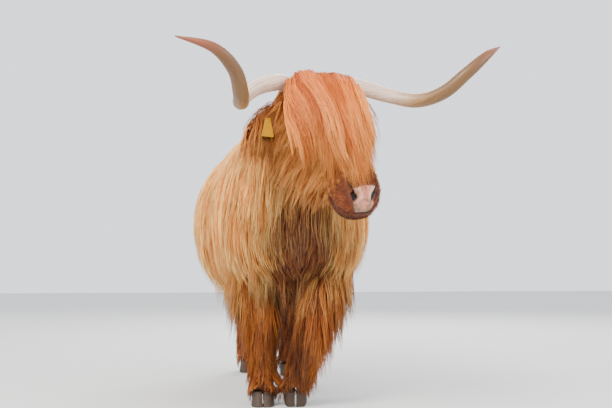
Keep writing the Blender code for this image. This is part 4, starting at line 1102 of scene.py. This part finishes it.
# Painted shade: the hair is darkened at the middle of the chest, where it is also darker hair, and low on
# the belly under the trunk. Slow patches drift over both.
chest_dark_hair_and_shade = hill(place[:, 0], 0.17) * step(-place[:, 1], 0.08, 0.22)
belly_underside_shade = step(0.72 - place[:, 2], 0, 0.15)
shade = np.clip(1.15 * chest_dark_hair_and_shade + 0.45 * belly_underside_shade + 0.35 * (patchy(place, 7, 4.0) - 0.6), 0, 1)
trunk_guides = trunk_guides._replace(shade=shade)
for word, side in SIDES.items():
    for part, low, high in (("front", -1.0, 0.18), ("middle", 0.18, 0.68), ("rear", 0.68, 2.0)):
        chosen = (place[:, 0] * side >= 0) & (place[:, 1] >= low) & (place[:, 1] < high)
        strand_piece(f"coat_trunk_{part}_{word}", some(trunk_guides, chosen), "coat", 9, 0.030, 0.012,
                     0.0043, wave=0.003, turns=1.2)

# %% [markdown]
# The hair of the neck parts along the top and falls to both sides, wavier than the flank's. The throat
# under it is darker, as in the photo.

# %% Neck
def neck_pull(place, normal, done):
    """Down both sides from the top of the neck."""
    lean = 1.5 * np.maximum(0, normal[:, 2])
    sign = np.sign(place[:, 0] - NECK[2][0] + crossing * (done < 0.3))
    return lying(DOWN + BACKWARD * 0.12 + LEFTWARD * (sign * lean)[:, None], normal)


place, normal, share = roots_of("neck")
crossing = chance.uniform(-0.05, 0.05, len(place))
length = 0.34 * chance.uniform(0.75, 1.1, len(place))
neck_guides = comb("neck", place, normal, share, length, lifts(0.060, len(place)), neck_pull, drape=0.030,
                   cling=0.5)
# Painted shade: the throat, the underside of the neck that faces down, is darkened.
throat_shade = np.clip(-normal[:, 2] + 0.2, 0, 1) * hill(place[:, 0], 0.15)
neck_guides = neck_guides._replace(shade=np.clip(throat_shade * 1.3, 0, 1))
strand_piece("coat_neck", neck_guides, "coat", 11, 0.026, 0.010, 0.0038, wave=0.007, turns=1.4,
             scale=(1.2, 0.5))

# %% [markdown]
# A leg is shaggy down to the hoof, and its hair gets shorter on the way. The upper part has the colours
# of the body and the lower part the legs' reddish brown, with a ragged border, so each leg has two
# pieces.

# %% Legs
# Painted shade under the body, laid on the upper part of the forelegs.
UPPER_SHADE = 0.38
COAT_TO_LEG = 0.56  # the height where the flank's hair gives way to the darker hair of the leg


def leg_pull(place, normal, done):
    """Down the leg and a little back."""
    return lying(DOWN + BACKWARD * 0.15 + normal * 0.06, normal)


for leg in LEG_JOINTS:
    place, normal, share = roots_of(leg)
    keep = share[:, 1] < 0.985
    place, normal, share = place[keep], normal[keep], share[keep]
    down = share[:, 1]
    length = np.interp(down, (0.2, 0.36, 0.56, 0.75, 0.92, 1.0), (.27, .24, .18, .13, .080, .040))
    length *= chance.uniform(0.7, 1.1, len(length))
    most = np.interp(down, (0.2, 0.5, 0.8, 1.0), (0.032, 0.024, 0.016, 0.010))
    leg_guides = comb(leg, place, normal, share, length, lifts(most, len(place)), leg_pull, drape=0.012)
    # Painted shade: the inner side of each leg, which faces the other legs, is darkened, with slow patches
    # over it.
    knee = LEG_JOINTS[leg][2][0]
    inner_side_shade = step((knee - place[:, 0]) * np.sign(knee), 0.0, 0.05)
    leg_guides = leg_guides._replace(shade=np.clip(0.5 * inner_side_shade + 0.25 * patchy(place, 23, 2.0), 0, 1))
    upper = place[:, 2] + chance.uniform(-0.09, 0.09, len(place)) > COAT_TO_LEG
    for part, chosen, finish in (("upper", upper, "coat"), ("lower", ~upper, "leg")):
        hair = some(leg_guides, chosen)
        if part == "upper":
            hair = hair._replace(shade=np.clip(hair.shade + UPPER_SHADE * leg.startswith("fore"), 0, 1))
        strand_piece(f"coat_{leg}_{part}", hair, finish, 7, 0.018, 0.007, 0.0034, rings=3, wave=0.005,
                     turns=1.6, scale=(0.35, 0.9))

# %% [markdown]
# The tail is a thin rod inside a long brush of hair that hangs straight down. Strands rooted on the rod
# make the brush, the longest of them in its lower half.

# %% Tail
def tail_pull(place, normal, done):
    """Straight down, and a little away from the tail."""
    return lying(DOWN + normal * 0.10, normal)


place, normal, share = roots_of("tail")
length = np.interp(place[:, 2], (0.42, 0.60, 0.90, 1.06), (0.22, 0.27, 0.22, 0.12))
length *= chance.uniform(0.75, 1.1, len(length))
most = np.interp(place[:, 2], (0.42, 0.70, 1.06), (0.030, 0.034, 0.022))
tail_guides = comb("tail", place, normal, share, length, lifts(most, len(place)), tail_pull)
strand_piece("coat_tail", tail_guides, "coat", 9, 0.015, 0.009, 0.0036, wave=0.007, turns=1.6,
             scale=(0.2, 0.9))

# %% [markdown]
# ## The head's hair
# A heavy forelock hangs from between the horns over the eyes and most of the face. The cheeks carry long
# wavy hair that falls back and down, and towards the muzzle the hair gets short and flat.


# %% Forelock
MOP_RIGHT = -0.118  # how far out the mop hangs on each side, at the horns and at its tips
MOP_LEFT = 0.152
MOP_LEFT_TIPS = 0.085
MOP_DRIFT = -0.065  # it hangs plumb, while the face under it points to the left
CROWN_HALF_WIDTH = 0.080


def on_face(along, aside):
    """Roots on the front of the head at these places, with the normals there."""
    start = np.array([head_point(a, b, 0.4) for a, b in zip(along, aside)])
    hits = [trees["head"].ray_cast(p, (-HEAD_OUTWARD).tolist()) for p in start.tolist()]
    return np.array([h[0] for h in hits]), np.array([h[1] for h in hits])


number = 320
spot = 2 * (np.arange(number) * 0.618034 % 1.0) - 1  # evenly spread whatever the number
depth = chance.uniform(0, 1, number)
aside = spot * CROWN_HALF_WIDTH
along = -0.030 + 0.075 * (1 - depth) * (1 - 0.5 * spot ** 2)
outwards = np.abs(spot) ** np.where(spot < 0, 0.55, 0.85) * chance.uniform(0.88, 1.05, number)
length = np.interp(spot, (-1.0, -0.55, -0.2, 0.3, 1.0), (0.47, 0.49, 0.58, 0.66, 0.63))
length *= chance.uniform(0.80, 1.03, number) * (0.90 + 0.10 * depth)
lift = 0.016 + 0.040 * depth


def forelock_pull(place, normal, done):
    """Up and forward from the crown, out to each strand's own side, then down."""
    widest = np.where(spot < 0, MOP_RIGHT * (1 - 0.40 * done), MOP_LEFT + (MOP_LEFT_TIPS - MOP_LEFT) * done)
    short = outwards * widest + MOP_DRIFT * done - head_places(place)[1]
    far = np.clip(np.abs(short) / 0.05, 0, 1)
    fan = HEAD_LEFT * np.clip(short * 22, -2.2, 2.2)[:, None]
    fall = DOWN * (1 - 0.85 * far)[:, None]
    early = max(0.0, 1 - done * 4) * (0.3 + depth)[:, None]
    crown = UP * 0.7 * early * (1 - np.abs(spot))[:, None]
    return lying(fall + fan + HEAD_FORWARD * 0.7 * early + crown, normal)


place, normal = on_face(along, aside)
share = np.stack([(spot + 1) / 2, depth], axis=1)
mop = comb("head", place, normal, share, length, lift, forelock_pull, stray=0.05, drape=0.016, cling=2.0,
           bands=14, sink=0.008, rise=0.25)
for word, chosen in (("right", spot < 0), ("left", spot >= 0)):
    strand_piece(f"coat_forelock_{word}", some(mop, chosen), "forelock", 22, 0.017, 0.011, 0.0029, rings=6,
                 wave=0.006, turns=1.7, reach=(0.6, 1.0), scale=(0.3, 0.3))

# %% [markdown]
# On the front of the head the hair lies along the face, and on the cheeks it falls back and down. It gets
# shorter towards the muzzle, and a ring round each eye stays free of roots.

# %% Cheeks, brow and jaw
LONG_HAIR_END = 0.47  # down the face
EYE_CLEARING = 0.030


def head_pull(place, normal, done):
    """Along the face on its front, back and down on the cheeks."""
    aside = head_places(place)[1][:, None]
    facing = np.maximum(0, dot(normal, HEAD_OUTWARD))[:, None]
    combed = HEAD_LENGTHWISE * facing + (DOWN * 0.9 - HEAD_FORWARD * 0.6) * (1 - facing)
    return lying(combed + HEAD_LEFT * aside * 2.2 + DOWN * 0.3, normal)


place, normal, share = roots_of("head")
along, aside, front = head_places(place)
facing = dot(normal, HEAD_OUTWARD)
sideways = np.interp(facing, (-0.8, 0.2, 0.75), (1.0, 1.0, 0.35))
length = np.interp(along, (0.0, 0.20, 0.34, 0.42, 0.47), (0.24, 0.24, 0.17, 0.06, 0.018)) * sideways
length *= chance.uniform(0.8, 1.1, len(length))
most = np.interp(along, (0.0, 0.25, 0.38, 0.47), (0.036, 0.034, 0.018, 0.003))
eyes = [np.linalg.norm(place - head_point(EYE[0], EYE[1] * side, EYE[2]), axis=1) for side in (-1, 1)]
keep = (along < LONG_HAIR_END) & (np.minimum(*eyes) > EYE_CLEARING)
head_guides = comb("head", place[keep], normal[keep], share[keep], length[keep],
                   lifts(most[keep], keep.sum()), head_pull, drape=0.014)
strand_piece("coat_cheeks", head_guides, "cheek", 10, 0.015, 0.008, 0.0028, rings=4, wave=0.006, turns=1.6,
             scale=(0.6, 0.6))

# %% [markdown]
# Between the cheeks and the bare nose pad the fur is two to four centimetres long and lies flat. Its
# strands are many and small, so each has two rings and no wave.

# %% Short fur of the muzzle
def muzzle_pull(place, normal, done):
    """Flat, back up the face and down its sides."""
    return lying(-HEAD_LENGTHWISE * 0.8 + DOWN * 0.45, normal)


around, lengthwise = even_roots(skins["head"], ROOT_SPACING["muzzle"], 0.45, 0.99)
place, normal = surface(skins["head"], around, lengthwise)
rows, sides = skins["head"].shape[:2]
row = np.round(lengthwise * (rows - 1)).astype(int)
column = np.round(around * sides).astype(int) % sides
bare = (head_masks["bare"] + head_masks["nostril_shade"] + head_masks["mouth_slit_shade"]).reshape(rows, sides)[row, column]
along = head_places(place)[0]
keep = (bare < 0.25) & (along > 0.34)
place, normal, along = place[keep], normal[keep], along[keep]
share = np.stack([around, lengthwise], axis=1)[keep]
length = np.interp(along, (0.34, 0.42, 0.54), (0.045, 0.034, 0.018)) * chance.uniform(0.8, 1.2, len(along))
fur = comb("head", place, normal, share, length, np.full(len(along), 0.0035), muzzle_pull, stray=0.06,
           bands=3, sink=0.001)
# Painted shade: the fur low on the muzzle, towards the mouth and chin, is darkened, with slow patches over
# it.
fur = fur._replace(shade=0.8 * step(-head_places(place)[2], 0.075, 0.13) + 0.3 * patchy(place, 60, 1.0))
strand_piece("coat_muzzle", fur, "muzzle", 4, 0.005, 0.003, 0.0014, rings=2, wave=0.0, scale=(0.5, 0.25))

# %% [markdown]
# A fringe hangs from each ear and hides most of its blade. The hair leaves the ear outwards at first and
# then falls, as its own weight would bend it.

# %% Ears
def ear_pull(place, normal, done):
    """Out along the ear at first, then down."""
    return lying(outward_way * max(0.0, 0.9 - done) + DOWN + normal * 0.05, normal)


for word, side in SIDES.items():
    name = f"ear_{word}"
    root, outward_way, across, out = ear_frame(side)
    around, lengthwise = even_roots(forms[name], ROOT_SPACING["ear"], 0.10, 1.0)
    place, normal = surface(forms[name], around, lengthwise)
    length = np.interp(lengthwise, (0.1, 0.5, 1.0), (0.14, 0.18, 0.17))
    length = length * chance.uniform(0.7, 1.1, len(around))
    tops = np.interp(normal[:, 2], (0.0, 0.8), (0.018, 0.050))
    share = np.stack([around, lengthwise], axis=1)
    ear_guides = comb(name, place, normal, share, length, lifts(tops, len(place)), ear_pull, drape=0.010,
                      sink=0.002, rise=0.3)
    strand_piece(f"coat_{name}", ear_guides, "cheek", 6, 0.010, 0.007, 0.0027, rings=4, wave=0.003,
                 turns=1.6, fly=0.0, scale=(0.25, 0.2))
print("coat triangles", sum(made_triangles), "largest piece", max(made_triangles))

# %% [markdown]
# ## Horns
# A horn grows from its root in faint rings, and long streaks run along it. It is pale where it is young,
# olive brown past the bend and darker at the tip. The form is the solids' own line with many more rings.

# %% Horns
made, tree, shader = new_material("horn", Specular_IOR_Level=0.45)
along = attribute(tree, "along")
streak_space = add(tree, "ShaderNodeCombineXYZ")
tree.links.new(maths(tree, "MULTIPLY", along, 7.0), streak_space.inputs[0])
for name, axis in (("turn_x", 1), ("turn_y", 2)):
    tree.links.new(maths(tree, "MULTIPLY", attribute(tree, name), 13.0), streak_space.inputs[axis])
streaks = mottled(tree, streak_space.outputs[0], Scale=1.0, Detail=6.0, Grain=0.65, Smoothest=0.34,
                  Roughest=0.55)
ramp = add(tree, "ShaderNodeValToRGB")
stops = ((0.0, (190, 150, 124)), (0.12, (228, 198, 178)), (0.34, (216, 188, 166)), (0.44, (160, 124, 82)),
         (0.56, (112, 80, 38)), (0.72, (104, 68, 32)), (0.82, (134, 68, 42)),
         (0.93, (124, 66, 46)), (1.0, (66, 36, 28)))
ramp.color_ramp.elements[0].color = colour(*stops[0][1])
ramp.color_ramp.elements[1].color = colour(*stops[-1][1])
for position, shade in stops[1:-1]:
    ramp.color_ramp.elements.new(position).color = colour(*shade)
wobble = maths(tree, "MULTIPLY", maths(tree, "SUBTRACT", streaks.outputs["Mask"], 0.5), 0.16)
tree.links.new(maths(tree, "ADD", along, wobble), ramp.inputs[0])
dirt = add(tree, "ShaderNodeMapRange", in_1=0.46, in_2=0.68, in_4=0.75)
tree.links.new(streaks.outputs["Mask"], dirt.inputs[0])
tree.links.new(mix(tree, dirt.outputs[0], ramp.outputs[0], colour(88, 56, 36)), shader.inputs["Base Color"])
tree.links.new(streaks.outputs["Roughness"], shader.inputs["Roughness"])
bump = add(tree, "ShaderNodeBump", in_Strength=0.3, in_Distance=0.0015)
tree.links.new(streaks.outputs["Mask"], bump.inputs["Height"])
tree.links.new(bump.outputs["Normal"], shader.inputs["Normal"])
horn_finish = made
for word, side in SIDES.items():
    grid, share = horn_form(side)
    horn = new_mesh(f"horn_shell_{word}", grid.reshape(-1, 3), grid_faces(grid))
    turn = math.tau * (np.arange(HORN_SIDES) + 0.5) / HORN_SIDES
    add_numbers(horn.data, "along", np.repeat(share, HORN_SIDES))
    add_numbers(horn.data, "turn_x", np.tile(np.cos(turn), len(share)))
    add_numbers(horn.data, "turn_y", np.tile(np.sin(turn), len(share)))
    horn.data.materials.append(horn_finish)
    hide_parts(f"horn_{word}")
print("horn points", grid.shape)

# %% [markdown]
# ## Eyes
# The eye of a cow is large and dark, with a long level pupil. Here it is one smooth ball whose colours
# depend on the angle from the way it looks.

# %% Eyes
made, tree, shader = new_material("eye", Roughness=0.05, Coat_Weight=1.0, Coat_Roughness=0.03)
ramp = add(tree, "ShaderNodeValToRGB")
for position, shade in ((0.0, (8, 5, 4)), (1.0, (196, 176, 160))):
    ramp.color_ramp.elements[int(position)].color = colour(*shade)
EYE_TONES = ((0.30, (8, 5, 4)), (0.36, (60, 34, 18)), (0.62, (44, 24, 14)), (0.68, (120, 96, 84)))
for position, shade in EYE_TONES:
    ramp.color_ramp.elements.new(position).color = colour(*shade)
tree.links.new(attribute(tree, "aside"), ramp.inputs[0])
tree.links.new(ramp.outputs[0], shader.inputs["Base Color"])
eye_finish = made
for word, side in SIDES.items():
    looks, upward, across = eye_looks(side)
    centre = head_point(EYE[0], EYE[1] * side, EYE[2])
    polar = np.linspace(0.001, math.pi - 0.001, 33)
    grid = np.array([ring(centre + looks * EYE_RADIUS * math.cos(p), across * EYE_RADIUS * math.sin(p),
                          upward * EYE_RADIUS * math.sin(p), 40) for p in polar])
    eye = new_mesh(f"eyeball_{word}", grid.reshape(-1, 3), grid_faces(grid))
    away = grid.reshape(-1, 3) - centre
    reach = np.hypot(dot(away, across) * 0.72, dot(away, upward) * 1.25) / EYE_RADIUS
    add_numbers(eye.data, "aside", np.clip(np.where(dot(away, looks) < 0, 1.0, reach), 0, 1))
    eye.data.materials.append(eye_finish)
    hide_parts(f"eye_{word}")
print("points on an eyeball", len(away))

# %% [markdown]
# ## Hooves, dewclaws and the ear tag
# A cloven hoof is two claws of dark horn with fine growth rings. The claws are made again with more
# points than the solids have. The dewclaws and the tag's back plate keep their solids, with better
# finishes.

# %% Hooves
CLAW_WIDTH = 0.047
CLAW_LENGTH = 0.100
HALF_CLEFT = 0.003
TOE_REACH = 0.026


def turned(angle, axis):
    """The turn by an angle about one of the cow's axes."""
    c, s = math.cos(angle), math.sin(angle)
    rows = {"X": ((1, 0, 0), (0, c, -s), (0, s, c)), "Z": ((c, -s, 0), (s, c, 0), (0, 0, 1))}
    return np.array(rows[axis])


def claw_form(leg, side):
    """Half of a cloven hoof: flat towards the cleft, sloping forward on the outside."""
    grid = []
    for share in (0, 0.02, 0.2, 0.4, 0.6, 0.8, 0.93, 0.985, 1.0):
        rounded_edge = 0.035 * max(0, share - 0.93) / 0.07
        growth_rings = 0.010 * math.sin(share * 26) * (share < 0.9)
        size = 0.87 + 0.13 * share - rounded_edge + growth_rings
        size -= 0.03 * (share == 0)
        loop = []
        for angle in np.linspace(0, math.pi, 22):
            bulge = abs(math.sin(angle)) ** 0.75
            loop.append((side * (HALF_CLEFT + CLAW_WIDTH * size * (0.14 + 0.86 * bulge)),
                         math.cos(angle) * CLAW_LENGTH * size / 2 - TOE_REACH * share,
                         -0.0004 - 0.0596 * share))
        for y in np.linspace(loop[-1][1], loop[0][1], 8):
            loop.append((side * HALF_CLEFT, y * 0.9 - TOE_REACH * share * 0.1, loop[0][2]))
        grid.append(loop)
    foot = turned(FOOT_TURN[leg], "Z") @ turned(FOOT_PITCH.get(leg, 0), "X")
    placed = np.array(grid) @ foot.T + np.array(LEG_JOINTS[leg][-1])
    placed[..., 2] = np.maximum(placed[..., 2], 0.0)
    return placed


made, tree, shader = new_material("hoof_horn", Specular_IOR_Level=0.4)
coords = add(tree, "ShaderNodeTexCoord").outputs["Object"]
bands = add(tree, "ShaderNodeTexWave", bands_direction="Z", in_Scale=60.0, in_Distortion=3.0, in_Detail=3.0)
tree.links.new(coords, bands.inputs["Vector"])
grime = mottled(tree, coords, Scale=45.0, Detail=5.0, Smoothest=0.45, Roughest=0.8)
dark = mix(tree, grime.outputs["Mask"], colour(20, 13, 9), colour(66, 48, 34))
tree.links.new(mix(tree, maths(tree, "MULTIPLY", bands.outputs["Fac"], 0.25), dark, colour(96, 72, 52)),
               shader.inputs["Base Color"])
tree.links.new(grime.outputs["Roughness"], shader.inputs["Roughness"])
bump = add(tree, "ShaderNodeBump", in_Strength=0.5, in_Distance=0.001)
tree.links.new(bands.outputs["Fac"], bump.inputs["Height"])
tree.links.new(bump.outputs["Normal"], shader.inputs["Normal"])
hoof_finish = made
for leg in LEG_JOINTS:
    for word, side in SIDES.items():
        grid = claw_form(leg, side)
        claw = new_mesh(f"hoof_{leg}_{word}", grid.reshape(-1, 3), grid_faces(grid))
        claw.data.set_sharp_from_angle(angle=math.radians(50))
        claw.data.materials.append(hoof_finish)
        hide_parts(f"{leg}_{word}_claw")
        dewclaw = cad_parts[f"{leg}_{word}_dewclaw"]
        dewclaw.data.materials.clear()
        dewclaw.data.materials.append(hoof_finish)

# %% [markdown]
# The tag is a flat yellow plate, narrow at the top, with the button of its pin near the top edge. It is
# moulded plastic, so its corners and edges are a little rounded, and it is bare.

# %% The ear tag
TAG_TOP_HALF = 0.0115
TAG_BOTTOM_HALF = 0.0285
TAG_HEIGHT = 0.075
TAG_THICKNESS = 0.0024
TAG_CORNER = 0.005
PIN_FLANGE = 0.0075


def rounded_outline(corners, radius, steps=6):
    """The corners of a flat shape, each turned into a small arc."""
    outline = []
    for before, corner, after in zip(corners[-1:] + corners[:-1], corners, corners[1:] + corners[:1]):
        corner = np.array(corner)
        one, two = unit(np.array(before) - corner) * radius, unit(np.array(after) - corner) * radius
        outline += [corner + one * (1 - t) ** 2 + two * t ** 2 for t in np.linspace(0, 1, steps)]
    return np.array(outline)


def dished(outline, layers):
    """A flat shape built up of outlines: each layer has a height and how far its edge is drawn in."""
    middle = outline.mean(axis=0)
    return np.array([[(*(p - unit(p - middle) * inset), height) for p in outline]
                     for height, inset in layers])


corners = [(-TAG_TOP_HALF, TAG_HEIGHT / 2), (TAG_TOP_HALF, TAG_HEIGHT / 2),
           (TAG_BOTTOM_HALF, -TAG_HEIGHT / 2), (-TAG_BOTTOM_HALF, -TAG_HEIGHT / 2)]
half = TAG_THICKNESS / 2
plate = dished(rounded_outline(corners, TAG_CORNER),
               ((-half, 0.0006), (-half + 0.0005, 0), (half - 0.0005, 0), (half, 0.0006)))
turn = np.linspace(0, math.tau, 28, endpoint=False)
button = np.stack([np.cos(turn), np.sin(turn)], axis=1) * PIN_FLANGE + (0, TAG_HEIGHT / 2 - 0.012)
stud = dished(button, ((0, 0), (half + 0.0016, 0), (half + 0.0024, 0.001), (half + 0.0024, 0.0035),
                       (half + 0.0036, 0.0042), (half + 0.0038, 0.006)))
tag_down = tag_axes[0] * np.sign(dot(tag_axes[0], DOWN))
tag_across = np.cross(tag_axes[2], tag_down)
to_cow = np.stack([tag_across, -tag_down, tag_axes[2]])
points, faces = stacked([plate, stud])
tag_plate = new_mesh("tag_plate", np.array(points) @ to_cow + tag_middle, faces)
tag_plate.data.set_sharp_from_angle(angle=math.radians(40))
made, tree, shader = new_material("tag_plastic", Subsurface_Weight=0.08)
coords = add(tree, "ShaderNodeTexCoord").outputs["Object"]
scuffs = mottled(tree, coords, Scale=140.0, Detail=6.0, Smoothest=0.28, Roughest=0.5)
yellow = mix(tree, scuffs.outputs["Mask"], colour(220, 140, 4), colour(255, 196, 30))
tree.links.new(yellow, shader.inputs["Base Color"])
tree.links.new(scuffs.outputs["Roughness"], shader.inputs["Roughness"])
tag_plate.data.materials.append(made)
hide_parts("ear_tag_front")
tag_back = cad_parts["ear_tag_back"]
tag_back.data.materials.clear()
tag_back.data.materials.append(made)
print("claws, dewclaws and tag finished", np.round(TAG_REACH, 4))

# %% [markdown]
# ## Stage, light and camera
# A plain pale floor and soft light from large lamps. The camera stands low in front of the cow, a little
# to its right.

# %% Floor and world
floor_mesh = bpy.data.meshes.new("floor")
floor_mesh.from_pydata([(-12, -12, 0), (12, -12, 0), (12, 14, 0), (-12, 14, 0)], [], [(0, 1, 2, 3)])
floor = bpy.data.objects.new("floor", floor_mesh)
bpy.context.scene.collection.objects.link(floor)
made, tree, shader = new_material("floor_paint", Roughness=0.9)
shader.inputs["Base Color"].default_value = (0.62, 0.62, 0.61, 1)
floor_mesh.materials.append(made)
world = bpy.data.worlds.new("studio")
bpy.context.scene.world = world
world.use_nodes = True
world.node_tree.nodes["Background"].inputs[0].default_value = (0.93, 0.95, 1.0, 1)
world.node_tree.nodes["Background"].inputs[1].default_value = 1.75


# %% [markdown]
# A warm lamp stands high on the cow's right, a weaker cool one fills in from its left, and one behind
# picks out the edge of the coat.

# %% Lamps
def lamp(name, place, target, power, size, tint):
    """A square lamp aimed at a place."""
    data = bpy.data.lights.new(name, "AREA")
    data.energy, data.size, data.color = power, size, tint
    made = bpy.data.objects.new(name, data)
    made.location = place
    aim = np.array(target, float) - np.array(place, float)
    made.rotation_mode = "QUATERNION"
    made.rotation_quaternion = Vector(aim).to_track_quat("-Z", "Y")
    bpy.context.scene.collection.objects.link(made)


lamp("key", (-3.2, -4.2, 4.6), (0, 0, 0.8), 620, 2.4, (1.0, 0.96, 0.90))
lamp("fill", (4.2, -3.0, 2.4), (0, 0, 0.9), 160, 3.0, (0.95, 0.97, 1.0))
lamp("rim", (1.5, 5.0, 4.2), (0, 0.2, 1.0), 380, 3.0, (1.0, 0.98, 0.95))

# %% [markdown]
# The camera has the place, height and lens that were fitted to the hooves, horns and horizon of the
# photo, so that the render can be laid beside it.

# %% Camera
VIEW = np.array((0.1219, 0.9925, 0.0))
PITCH = math.radians(3.08)
camera_data = bpy.data.cameras.new("camera")
camera_data.lens = 59.1
camera_data.sensor_width = 36
camera = bpy.data.objects.new("camera", camera_data)
camera.location = np.array((-0.480, -4.374, 0.63)) + STAND
aim = VIEW * math.cos(PITCH) + UP * math.sin(PITCH)
camera.rotation_mode = "QUATERNION"
camera.rotation_quaternion = Vector(aim).to_track_quat("-Z", "Y")
bpy.context.scene.collection.objects.link(camera)
bpy.context.scene.camera = camera
